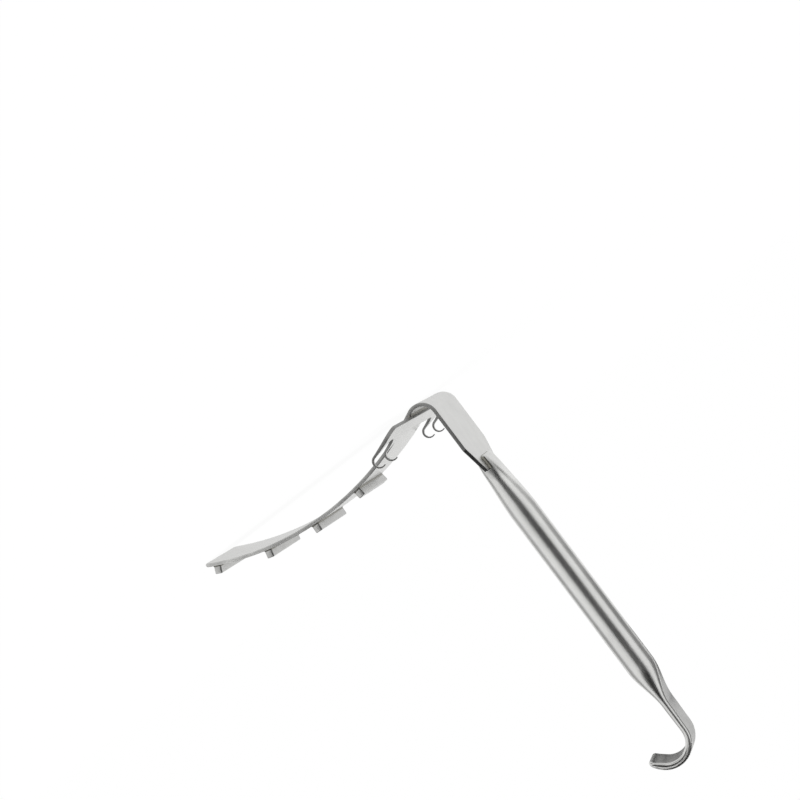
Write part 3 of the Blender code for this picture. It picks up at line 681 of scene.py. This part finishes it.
for name, operation, *values in (
        ("with flat", 'ADD', "with wedge", "flattening"),
        ("with hook", 'ADD', "with flat", "to hook"),
        ("with tip", 'ADD', "with hook", "to tip"),
        # The tip's edge is rounded over, and its two corners are cut round.
        ("edge share", 'DIVIDE', "left", "Tip thickness"),
        ("edge lifted", 'MULTIPLY_ADD', "edge share", TIP_ROUND_RATE, TIP_ROUND_START),
        ("edge limited", 'MINIMUM', "edge lifted", 1.0),
        ("edge round", 'SQRT', "edge limited"),
        ("outer thickness", 'MULTIPLY', "with tip", "edge round"),
        ("both walls", 'MULTIPLY_ADD', "wall radius", -2.0, "Diameter"),
        ("thickness", 'SUBTRACT', "outer thickness", "both walls"),
        ("half thickness", 'MULTIPLY', "thickness", 0.5),
        ("bow", 'MULTIPLY', "half thickness", math.pi),
        ("half girth", 'MULTIPLY', "wall radius", math.pi),
        ("flat side", 'SUBTRACT', "half girth", "bow"),
        ("half flat", 'MULTIPLY', "flat side", 0.5),
        ("on bow", 'MINIMUM', "way round", "bow"),
        ("on flat", 'SUBTRACT', "way round", "on bow"),
        ("bow angle", 'DIVIDE', "on bow", "half thickness"),
        ("bow angle centred", 'SUBTRACT', "bow angle", math.pi / 2),
        ("bow sine", 'SINE', "bow angle centred"),
        ("bow cosine", 'COSINE', "bow angle centred"),
        ("roundness", 'MAXIMUM', "rounder at the sawn end", "rounder towards the grip"),
        ("sine size", 'ABSOLUTE', "bow sine"),
        ("sine filled", 'POWER', "sine size", "roundness"),
        ("sine side", 'SIGN', "bow sine"),
        ("z share", 'MULTIPLY', "sine filled", "sine side"),
        ("cosine size", 'MAXIMUM', "bow cosine", 0.0),
        ("reach share", 'POWER', "cosine size", "roundness"),
        ("z half", 'MULTIPLY', "z share", "half thickness"),
        ("reach", 'MULTIPLY_ADD', "reach share", "half thickness", "half flat"),
        ("y half", 'SUBTRACT', "reach", "on flat"),
        ("corner left", 'SUBTRACT', "Tip corner", "left"),
        ("into corner", 'MAXIMUM', "corner left", 0.0),
        ("into squared", 'MULTIPLY', "into corner", "into corner"),
        ("corner squared", 'MULTIPLY', "Tip corner", "Tip corner"),
        ("chord squared", 'SUBTRACT', "corner squared", "into squared"),
        ("chord", 'SQRT', "chord squared"),
        ("narrowing", 'SUBTRACT', "Tip corner", "chord"),
        ("half width", 'ADD', "half flat", "half thickness"),
        ("narrow share", 'DIVIDE', "narrowing", "half width"),
        ("kept share", 'SUBTRACT', 1.0, "narrow share"),
        ("y kept", 'MULTIPLY', "y half", "kept share"),
        ("y", 'MULTIPLY', "y kept", "sign"),
        ("z signed", 'MULTIPLY', "z half", "sign"),
        # The tip is thinned on the inside of the hook only.
        ("z", 'MULTIPLY_ADD', "to tip", -0.5, "z signed"),
        ("hook radius down", 'MULTIPLY', "Hook radius", -1.0),
        ("around", 'MULTIPLY', "round angle", "wall radius"),
        # Painted shade inside the hook, spared at the very tip, and on the bows beside the tang.
        ("inside both", 'MULTIPLY', "on the inside", "not on the far bow"),
        ("inside before the tip", 'MULTIPLY', "inside both", "not at the very tip"),
        ("inside the hook", 'MULTIPLY', "inside before the tip", "hooked"),
        ("on the bow", 'MULTIPLY', "off the outer cheek", "off the inner cheek"),
        ("pressed end", 'MULTIPLY', "beside the tang", "on the bow"),
        ("end or hook", 'MAXIMUM', "pressed end", "inside the hook"),
        ("strip before the tip", 'MULTIPLY', "on the strip", "not at the very tip"),
        ("how darkened", 'MAXIMUM', "end or hook", "strip before the tip"),
        ("slot with room", 'ADD', "Slot length", SAW_ROOM),
        ("slot centre", 'MULTIPLY_ADD', "Slot length", 0.5, -SAW_ROOM / 2),
        ("slot width", 'MULTIPLY', "Diameter", 2.0)):
    add_node(press, "ShaderNodeMath", name, values, operation=operation)
for name, values in (
        ("unrolled", [place[0], "around"]), ("pressed place", [place[0], "y", "z"]),
        ("saw size", ["slot with room", "slot width", "Slot thickness"]),
        ("saw place", ["slot centre"])):
    add_node(press, "ShaderNodeCombineXYZ", name, values)
# The attribute "coarse" of the tube holds painted shade in the hook and beside the tang, and the darker
# strip.
add_node(press, "GeometryNodeStoreNamedAttribute", "polish",
         {"Geometry": "Geometry", "Name": "coarse", "Value": "how darkened"}, data_type='FLOAT')
add_node(press, "GeometryNodeStoreNamedAttribute", "blank",
         {"Geometry": "polish", "Name": "flat", "Value": "unrolled"}, data_type='FLOAT_VECTOR')
add_node(press, "GeometryNodeSetPosition", "pressed", {"Geometry": "blank", "Position": "pressed place"})
add_node(press, "GeometryNodeMeshCube", "saw block", {"Size": "saw size"})
add_node(press, "GeometryNodeTransform", "saw", {"Geometry": "saw block", "Translation": "saw place"})
add_node(press, "GeometryNodeMeshBoolean", "slotted", {"Mesh 1": "pressed", "Mesh 2": "saw"},
         operation='DIFFERENCE', solver='EXACT')
add_node(press, "GeometryNodeGroup", "hook", {
    "Geometry": "slotted", "Start": "Hook start", "Length": "Hook length",
    "Radius": "hook radius down"}, node_tree=roll)
add_node(press, "GeometryNodeTransform", "upright", {
    "Geometry": "hook", "Rotation": (0.0, -math.pi / 2, 0.0), "Translation": "Place"})
end_tree(press, "upright")

# %% [markdown]
# Here the round tube itself is made: a wall of rings from one end to the other, a bore that stops where
# the tube is pressed shut, and more rings where the shape will change quickly. The tree then does the
# pressing, the slot and the hook in one go.

# %% Round tube, pressed into the handle
OUTER_SIDES = 128
BORE_SIDES = 64
LIP_RADIUS = 0.0004              # rounding of the tube's sawn end
PRESSED_SHUT = 0.9               # the bore ends at this share of the way from the grip to the flat strip
BORE_END = GRIP_END_HEIGHT + PRESSED_SHUT * (FLAT_START_HEIGHT - GRIP_END_HEIGHT) - TUBE_START_HEIGHT


def tube_wall(tube, stations, sides):
    """Wall of a round tube along X, from (along, radius) stations. Returns its rings."""
    rings = []
    for along, radius in stations:
        ring = []
        for index in range(sides):
            angle = 2 * math.pi * index / sides - math.pi / 2
            ring.append(tube.verts.new((along, radius * math.cos(angle), radius * math.sin(angle))))
        rings.append(ring)
    for lower, upper in zip(rings, rings[1:]):
        for index in range(sides):
            after = (index + 1) % sides
            tube.faces.new((lower[index], lower[after], upper[after], upper[index]))
    return rings


outer_radius = TUBE_DIAMETER / 2
lengths = [height - TUBE_START_HEIGHT for height in (GRIP_START_HEIGHT, GRIP_END_HEIGHT, FLAT_START_HEIGHT)]
stations = [(LIP_RADIUS * (1 - math.cos(a)), outer_radius - LIP_RADIUS * (1 - math.sin(a)))
            for a in (math.radians(angle) for angle in (0, 30, 60, 90))]
along = spread(0.0, lengths[0], 37)[1:] + spread(lengths[0], lengths[1], 10)[1:]
along += spread(lengths[1], lengths[2], 30)[1:] + spread(lengths[2], HOOK_START, 8)[1:]
tip_zone = HOOK_TIP_CORNER_RADIUS * HOOK_MIDDLE_RADIUS / HOOK_RADIUS
along += spread(HOOK_START, TUBE_LENGTH - tip_zone, 44)[1:]
along += [TUBE_LENGTH - tip_zone * (1 - math.sin(math.radians(angle))) for angle in range(8, 88, 6)]
stations += [(value, outer_radius) for value in along]

tube = bmesh.new()
outside = tube_wall(tube, stations, OUTER_SIDES)
bore_stations = [(value, outer_radius - TUBE_WALL) for value in [0.0] + [v for v in along if v < BORE_END]]
bore = tube_wall(tube, bore_stations, BORE_SIDES)
tube.faces.new(outside[-1])
tube.faces.new(bore[-1])
for index in range(BORE_SIDES):
    # Two facets of the outer wall meet one facet of the bore on the sawn end.
    after = (index + 1) % BORE_SIDES
    rim = [outside[0][2 * index], outside[0][2 * index + 1], outside[0][2 * after]]
    tube.faces.new(rim + [bore[0][after], bore[0][index]])
bmesh.ops.recalc_face_normals(tube, faces=tube.faces)
handle = run_tree("tube_handle", tube, press, {
    "Diameter": TUBE_DIAMETER, "Start thickness": TUBE_START_THICKNESS, "Grip start": lengths[0],
    "Grip end": lengths[1], "Flat start": lengths[2], "Flat thickness": FLAT_THICKNESS,
    "Hook start": HOOK_START, "Hook thickness": HOOK_THICKNESS, "Hook length": HOOK_LENGTH,
    "Hook radius": HOOK_MIDDLE_RADIUS, "Tip length": HOOK_TIP_LENGTH, "Tip thickness": HOOK_TIP_THICKNESS,
    "Tip corner": HOOK_TIP_CORNER_RADIUS, "Slot length": TANG_END_HEIGHT + SOLDER_GAP - TUBE_START_HEIGHT,
    "Slot thickness": STRIP_THICKNESS + 2 * SOLDER_GAP,
    "Place": (FRAME_X + HALF_STRIP, 0.0, TUBE_START_HEIGHT), "Metal": tube_metal})
stand_in(handle, "handle")

# %% [markdown]
# Four square bars lie across the arch at one pitch. A tree places them: points at even angles round the
# arch's centre, and a copy of one bar on each point, turned with the arch. Each end is filed square on
# the handle's side and slants away on the other, which gives it a dark and a light half, and its corner
# on the handle's side is darkened further with painted shade.

# %% Row of bars round the arch
row_tree = new_tree("row of bars", [
    ("Count", "NodeSocketInt", 4), ("First angle", FLOAT, 0.4), ("Pitch angle", FLOAT, 0.19),
    ("Radius", FLOAT, 0.16), ("Centre", VECTOR, (0.0, 0.0, 0.0)), METAL])
add_node(row_tree, "GeometryNodeInputPosition", "bar place")
add_node(row_tree, "GeometryNodeStoreNamedAttribute", "bar blank",
         {"Geometry": "Geometry", "Name": "flat", "Value": "bar place"}, data_type='FLOAT_VECTOR')
add_node(row_tree, "GeometryNodeInputIndex", "index")
for name, operation, *values in (
        ("steps", 'MULTIPLY', "index", "Pitch angle"),
        ("bar angle", 'SUBTRACT', "First angle", "steps"),
        ("sine", 'SINE', "bar angle"),
        ("cosine", 'COSINE', "bar angle")):
    add_node(row_tree, "ShaderNodeMath", name, values, operation=operation)
add_node(row_tree, "ShaderNodeCombineXYZ", "direction", {"X": "sine", "Z": "cosine"})
add_node(row_tree, "ShaderNodeVectorMath", "arm",
         {"Vector": "direction", "Scale": "Radius"}, operation='SCALE')
add_node(row_tree, "ShaderNodeVectorMath", "seat", ["arm", "Centre"], operation='ADD')
add_node(row_tree, "GeometryNodeMeshLine", "points", {"Count": "Count"})
add_node(row_tree, "GeometryNodeSetPosition", "seats", {"Geometry": "points", "Position": "seat"})
add_node(row_tree, "ShaderNodeCombineXYZ", "turn", {"Y": "bar angle"})
add_node(row_tree, "GeometryNodeInstanceOnPoints", "bars",
         {"Points": "seats", "Instance": "bar blank", "Rotation": "turn"})
end_tree(row_tree, "bars")

# Shape of a bar's end, seen from above: (place across from -1, the handle's side, to 1, drop in mm).
BAR_END = ((1.0, 1.10), (0.985, 0.98), (0.94, 0.87), (0.86, 0.77), (0.70, 0.62), (0.45, 0.39),
           (0.25, 0.22), (0.12, 0.12), (0.03, 0.05), (-0.05, 0.015), (-0.12, 0.0), (-0.40, 0.0),
           (-0.66, 0.0), (-0.76, 0.03), (-0.85, 0.11), (-0.92, 0.22), (-0.97, 0.35), (-1.0, 0.52),
           (-1.0, 1.10))
BAR_END_DROP = 0.0011
# A bar end's corner on the handle's side is painted dark: painted shade.
BAR_SHADE_FROM = -0.7           # the dark corner's place across the bar
BAR_SIDE_CUT = 0.04              # how coarse the ground sides are
BAR_END_CUT = 0.12               # and the filed ends
half_length = STRIP_WIDTH / 2 - BAR_INSET
bar_end = [Vector((BAR_THICKNESS / 2 * across, half_length - drop / 1e3)) for across, drop in BAR_END]
bar_outline = bar_end + [Vector((p.x, -p.y)) for p in reversed(bar_end)]


def at_bar_end(point):
    """Whether a point of the bar's outline belongs to one of its filed ends."""
    return abs(point.y) > half_length - BAR_END_DROP + 1e-6


def bar_cut_and_shade(point):
    """The sides are nearly smooth, the ends coarser, and the corner on the handle's side gets painted shade.
    """
    if not at_bar_end(point):
        return BAR_SIDE_CUT
    return 1.0 if point.x < BAR_SHADE_FROM * BAR_THICKNESS / 2 else BAR_END_CUT


bar_blank = rounded_blank(bar_outline, lambda point: BAR_EDGE_RADIUS, BAR_HEIGHT, support=0.0001, cut=bar_cut_and_shade)
points_of_a_bar = len(bar_blank.verts)
FIRST_BAR_ANGLE = TIP_ANGLE - (FIRST_BAR_FROM_TIP - HALF_STRIP) / (ARCH_RADIUS + HALF_STRIP)
BAR_PITCH_ANGLE = BAR_PITCH / (ARCH_RADIUS + STRIP_THICKNESS)
bar_row = run_tree("bar_row", bar_blank, row_tree, {
    "Count": BAR_COUNT, "First angle": FIRST_BAR_ANGLE, "Pitch angle": BAR_PITCH_ANGLE,
    "Radius": ARCH_RADIUS + STRIP_THICKNESS + SOLDER_GAP + BAR_HEIGHT / 2,
    "Centre": (FRAME_X + ARCH_CENTRE.x, 0.0, ARCH_CENTRE.y), "Metal": bar_metal})
# Each bar of the row becomes a piece of its own, which stands for its own CAD bar.
for index in range(BAR_COUNT):
    single = bmesh.new()
    single.from_mesh(bar_row.data)
    single.verts.ensure_lookup_table()
    others = [v for v in single.verts if v.index // points_of_a_bar != index]
    bmesh.ops.delete(single, geom=others, context='VERTS')
    bar = as_object("cross_bar_%d" % (index + 1), single)
    bar.data.materials.append(bar_metal)
    stand_in(bar, "bar_%d" % (index + 1))
bpy.data.objects.remove(bar_row)

# %% [markdown]
# Silver solder joins the pieces, and where it has run it stands as a small hollow fillet in the corner
# between two parts. Each run follows a path along the foot of a joint: the tree turns the path into a
# curve, gives it the direction that points off the metal underneath, and sweeps a section along it that
# is scaled to the size of the run: a hollow quarter arc, and a far corner that is buried in the joint.

# %% Tree that lays a solder fillet along a path
ARC_POINTS = 9
solder_tree = new_tree("lay solder", [("Buried corner", FLOAT, -0.4), METAL])
add_node(solder_tree, "GeometryNodeInputIndex", "index")
for name, operation, *values in (
        ("arc angle", 'MULTIPLY', "index", math.pi / 2 / (ARC_POINTS - 1)),
        ("cosine", 'COSINE', "arc angle"),
        ("sine", 'SINE', "arc angle"),
        ("hollow x", 'SUBTRACT', 1.0, "cosine"),
        ("hollow y", 'SUBTRACT', 1.0, "sine"),
        ("is corner", 'GREATER_THAN', "index", ARC_POINTS - 0.5)):
    add_node(solder_tree, "ShaderNodeMath", name, values, operation=operation)
add_node(solder_tree, "ShaderNodeCombineXYZ", "on the hollow", ["hollow x", "hollow y"])
add_node(solder_tree, "ShaderNodeCombineXYZ", "in the joint", ["Buried corner"] * 2)
add_node(solder_tree, "ShaderNodeMix", "section place",
         {0: "is corner", 4: "on the hollow", 5: "in the joint"}, data_type='VECTOR')
add_node(solder_tree, "GeometryNodeMeshLine", "section line", {"Count": ARC_POINTS + 1})
add_node(solder_tree, "GeometryNodeSetPosition", "section points", {
    "Geometry": "section line", "Position": solder_tree.nodes["section place"].outputs[1]})
add_node(solder_tree, "GeometryNodeMeshToCurve", "open section", {"Mesh": "section points"})
add_node(solder_tree, "GeometryNodeSetSplineCyclic", "section", {"Geometry": "open section", "Cyclic": True})
for name, attribute, kind in (("off the metal", "up", 'FLOAT_VECTOR'), ("run size", "size", 'FLOAT')):
    add_node(solder_tree, "GeometryNodeInputNamedAttribute", name, {"Name": attribute}, data_type=kind)
add_node(solder_tree, "GeometryNodeMeshToCurve", "curve", {"Mesh": "Geometry"})
add_node(solder_tree, "GeometryNodeSetCurveNormal", "directed",
         {"Curve": "curve", "Normal": "off the metal"}, mode='FREE')
add_node(solder_tree, "GeometryNodeCurveToMesh", "swept", {
    "Curve": "directed", "Profile Curve": "section", "Scale": "run size", "Fill Caps": True})
add_node(solder_tree, "GeometryNodeInputPosition", "place")
add_node(solder_tree, "GeometryNodeStoreNamedAttribute", "pattern",
         {"Geometry": "swept", "Name": "flat", "Value": "place"}, data_type='FLOAT_VECTOR')
end_tree(solder_tree, "pattern")


def lay_solder(name, paths):
    """Solder along each path: (whether it is closed, rows of point, direction off the metal and size)."""
    mesh = bpy.data.meshes.new(name)
    rows = []
    edges = []
    for closed, path in paths:
        first = len(rows)
        rows += path
        edges += [(first + step, first + step + 1) for step in range(len(path) - 1)]
        if closed:
            edges.append((len(rows) - 1, first))
    mesh.from_pydata([row[0] for row in rows], edges, [])
    for title, kind, field, column in (("up", 'FLOAT_VECTOR', "vector", 1), ("size", 'FLOAT', "value", 2)):
        # Each attribute is filled before the next is added, because adding one moves the others in memory.
        attribute = mesh.attributes.new(title, kind, 'POINT')
        for index, row in enumerate(rows):
            setattr(attribute.data[index], field, row[column])
    run = run_tree(name, mesh, solder_tree, {"Metal": solder_metal}, sharp_angle=60.0)
    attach(run, "root")


# %% [markdown]
# Each bar stands on the blade in a ring of solder. The path is the bar's own outline, laid on the
# blade's outer face, and the run is thinner round the bar's ends.

# %% Solder round the bars
BAR_SOLDER = 0.0008
BAR_END_SOLDER = 0.0004


def arch_directions(angle):
    """Directions along the arch towards the tip, and off its outer face."""
    return Vector((math.cos(angle), 0.0, -math.sin(angle))), Vector((math.sin(angle), 0.0, math.cos(angle)))


outer_face = ARCH_RADIUS + STRIP_THICKNESS
paths = []
for index in range(BAR_COUNT):
    angle = FIRST_BAR_ANGLE - index * BAR_PITCH_ANGLE
    forward, up = arch_directions(angle)
    path = []
    for point in bar_outline:
        foot = on_arch(angle, outer_face) + forward * point.x + Vector((0.0, point.y, 0.0))
        path.append((foot, up, BAR_END_SOLDER if at_bar_end(point) else BAR_SOLDER))
    paths.append((True, path))
lay_solder("solder_bars", paths)

# %% [markdown]
# The claw plate is soldered on top of the blade. Two runs lie across the blade, at the plate's front and
# back edges, and two lie along the blade's sides, in the corner under the plate's wings. A fillet could
# be a bevel of the joined pieces too, but they stay separate pieces here, as they were before soldering.

# %% Solder round the claw plate, on the blade and under the plate's wings
PLATE_SOLDER = 0.0010
PLATE_SOLDER_INSET = 0.0006      # the runs across stop short of the blade's rounded edges
plate_end_angle = PLATE_START_ANGLE + PLATE_DEPTH / PLATE_ARC_RADIUS
run_half = half_width - PLATE_SOLDER_INSET
paths = []
for angle, side in ((PLATE_START_ANGLE, -1), (plate_end_angle, 1)):
    up = arch_directions(angle)[1]
    ends = [on_arch(angle, outer_face) + Vector((0.0, side * y, 0.0)) for y in (-run_half, run_half)]
    paths.append((False, [(end, up, PLATE_SOLDER) for end in ends]))
for side in (-1, 1):
    path = []
    for angle in spread(PLATE_START_ANGLE, plate_end_angle, 12)[::side]:
        place = on_arch(angle, outer_face + SOLDER_GAP) + Vector((0.0, side * half_width, 0.0))
        path.append((place, -arch_directions(angle)[1], PLATE_SOLDER))
    paths.append((False, path))
lay_solder("solder_plate", paths)

# %% [markdown]
# The tang of the strip sits in the tube's slot. The solder has filled the corner at both sides of the
# tube, on both faces of the tang, and has been filed nearly flush at the tube's sawn end.

# %% Solder round the pressed end of the tube, on both faces of the tang
TANG_SOLDER = 0.0016
TANG_END_SOLDER = 0.0003
TANG_CORNER = 0.0004             # how far the run goes round the corner of the sawn end
TANG_CORNER_CUT = 0.0001         # and how far it cuts across that corner


def cheek_half_width(height):
    """Half width of the pressed tube where it meets the face of the tang."""
    share = share_between(height, TUBE_START_HEIGHT, GRIP_START_HEIGHT)
    thickness = TUBE_DIAMETER - (TUBE_DIAMETER - TUBE_START_THICKNESS) * (1 - share) ** SWELL_POWER
    return math.pi * (TUBE_DIAMETER - thickness) / 4 + thickness / 2 - TANG_CORNER_CUT


paths = []
start = TUBE_START_HEIGHT
for x, up_x in ((FRAME_X, -1), (FRAME_X + STRIP_THICKNESS, 1)):
    heights = spread(start + TANG_CORNER, TANG_END_HEIGHT, 10)
    sides = [(cheek_half_width(height), height) for height in heights]
    width = sides[0][0]
    corner = [(width - TANG_CORNER_CUT, start + TANG_CORNER_CUT), (width - TANG_CORNER, start)]
    half_path = sides[::-1] + corner
    whole = half_path + [(-y, height) for y, height in half_path[::-1]]
    rows = []
    for y, height in whole[::-up_x]:
        size = TANG_SOLDER if height > start + 2 * TANG_CORNER else TANG_END_SOLDER
        rows.append((Vector((x, y, height)), Vector((up_x, 0.0, 0.0)), size))
    paths.append((False, rows))
lay_solder("solder_tang", paths)

# %% [markdown]
# The studio is a white surround, a white floor and one weak soft sun. The camera sees the floor as the
# plain white of the picture's background, with a trace of the instrument's shadow left in it. A white
# card behind the instrument would do as well, but without a shadow the instrument would seem to float.

# %% White world, floor and soft sun
scene = bpy.context.scene
scene.view_settings.view_transform = 'Standard'
world = bpy.data.worlds.new("white surround")
world.use_nodes = True
scene.world = world
world.node_tree.nodes["Background"].inputs["Color"].default_value = linear("FFFFFF")
world.node_tree.nodes["Background"].inputs["Strength"].default_value = 1.0

FLOOR_GLOW = 0.95                # how far the white of the backdrop fills the shadow on the floor
floor_mesh = bmesh.new()
bmesh.ops.create_grid(floor_mesh, x_segments=1, y_segments=1, size=60.0)
floor = as_object("floor", floor_mesh)
floor_paint = bpy.data.materials.new("white paper floor")
floor_paint.use_nodes = True
tree = floor_paint.node_tree
tree.nodes.clear()
rays = add_node(tree, "ShaderNodeLightPath", "ray").outputs
for name, operation, *values in (
        ("camera or glossy", 'ADD', rays["Is Camera Ray"], rays["Is Glossy Ray"]),
        ("seen", 'ADD', "camera or glossy", rays["Is Transmission Ray"]),
        ("share of plain white", 'MULTIPLY', "seen", FLOOR_GLOW)):
    add_node(tree, "ShaderNodeMath", name, values, operation=operation)
add_node(tree, "ShaderNodeBsdfDiffuse", "paper", {"Color": linear("FCFCFC")})
add_node(tree, "ShaderNodeEmission", "plain white", {"Color": linear("FFFFFF"), "Strength": 1.0})
add_node(tree, "ShaderNodeMixShader", "mixed", ["share of plain white", "paper", "plain white"])
add_node(tree, "ShaderNodeOutputMaterial", "out", {"Surface": "mixed"})
floor.data.materials.append(floor_paint)

sun_data = bpy.data.lights.new("soft sun", 'SUN')
sun_data.energy = 0.3
sun_data.angle = math.radians(60)
sun = bpy.data.objects.new("soft sun", sun_data)
sun.rotation_euler = (math.radians(-20), math.radians(-25), 0.0)
scene.collection.objects.link(sun)

# %% [markdown]
# Polished metal shows nothing but its surroundings, so black and grey cards stand where the picture
# shows dark bands: behind and beside the camera, left and right, overhead, on the floor and by the hook.
# A card is one plain glowing face that the camera doesn't see and that throws no shadow. Its place was
# worked out from the direction in which each face of the instrument reflects the camera's view.

# %% Cards for the reflections
def card(name, code, corners):
    """Matt card with those four corners, seen only in reflections."""
    mesh = bpy.data.meshes.new(name)
    mesh.from_pydata(corners, [], [(0, 1, 2, 3)])
    piece = as_object(name, mesh)
    material = bpy.data.materials.new(name)
    material.use_nodes = True
    material.node_tree.nodes.clear()
    add_node(material.node_tree, "ShaderNodeEmission", "card", {"Color": linear(code), "Strength": 1.0})
    add_node(material.node_tree, "ShaderNodeOutputMaterial", "out", {"Surface": "card"})
    mesh.materials.append(material)
    piece.visible_camera = False
    piece.visible_diffuse = False
    piece.visible_shadow = False


def upright_card(name, code, azimuth, half_angle, low, high, distance=2.4):
    """Upright card at an azimuth, 0 being +Y and 90 being +X, that fills an angle to each side."""
    turn = math.radians(azimuth)
    away = Vector((math.sin(turn), math.cos(turn), 0.0)) * distance
    side = Vector((math.cos(turn), -math.sin(turn), 0.0)) * distance * math.tan(math.radians(half_angle))
    rise = [Vector((0.0, 0.0, height)) for height in (low, high)]
    corners = [away - side + rise[0], away + side + rise[0], away + side + rise[1], away - side + rise[1]]
    card(name, code, corners)


upright_card("card behind camera", "5A5A5A", -166, 25, 0.0, 2.4)
upright_card("low card beside camera", "1C1C1C", 167, 10, 0.0, 0.12)
upright_card("card left", "A8A8A8", 80, 20, 0.0, 2.4)
upright_card("card right", "949494", -68, 24, 0.0, 0.40)
upright_card("card right above", "707070", -68, 24, 0.40, 2.4)
upright_card("card behind the hook", "404040", -18, 30, 0.175, 0.224, distance=0.15)
upright_card("card above the hook", "CCCCCC", -18, 30, 0.224, 0.36, distance=0.15)
card("card overhead", "141414", [(-1.8, -1.8, 2.0), (1.8, -1.8, 2.0), (1.8, 1.2, 2.0), (-1.8, 1.2, 2.0)])
card("card on the floor", "1C1C1C",
     [(-1.4, -2.4, 0.001), (1.0, -2.4, 0.001), (0.3, -0.2, 0.001), (-0.5, -0.2, 0.001)])

# %% [markdown]
# The camera was fitted to the photographed instrument: it stands 1.3 m away, almost level with the
# middle of the blade, and is rolled by 143 degrees, because the picture shows the instrument lying slantwise.

# %% Camera at the photograph's viewing angle
CAMERA_PLACE = Vector((-0.34542, -1.27352, 0.04603))
CAMERA_RIGHT = Vector((-0.77407, 0.20207, 0.59998))
CAMERA_UP = Vector((-0.59276, 0.10154, -0.79895))
CAMERA_BACK = Vector((-0.22237, -0.97409, 0.04119))
FOCAL_PIXELS = 2412.47
camera_data = bpy.data.cameras.new("camera")
camera_data.sensor_width = 36.0
camera_data.lens = FOCAL_PIXELS / 800 * camera_data.sensor_width
camera = bpy.data.objects.new("camera", camera_data)
turned = Matrix((CAMERA_RIGHT, CAMERA_UP, CAMERA_BACK)).transposed()
camera.matrix_world = Matrix.Translation(CAMERA_PLACE) @ turned.to_4x4()
scene.collection.objects.link(camera)
scene.camera = camera
print("lens %.1f mm" % camera_data.lens)
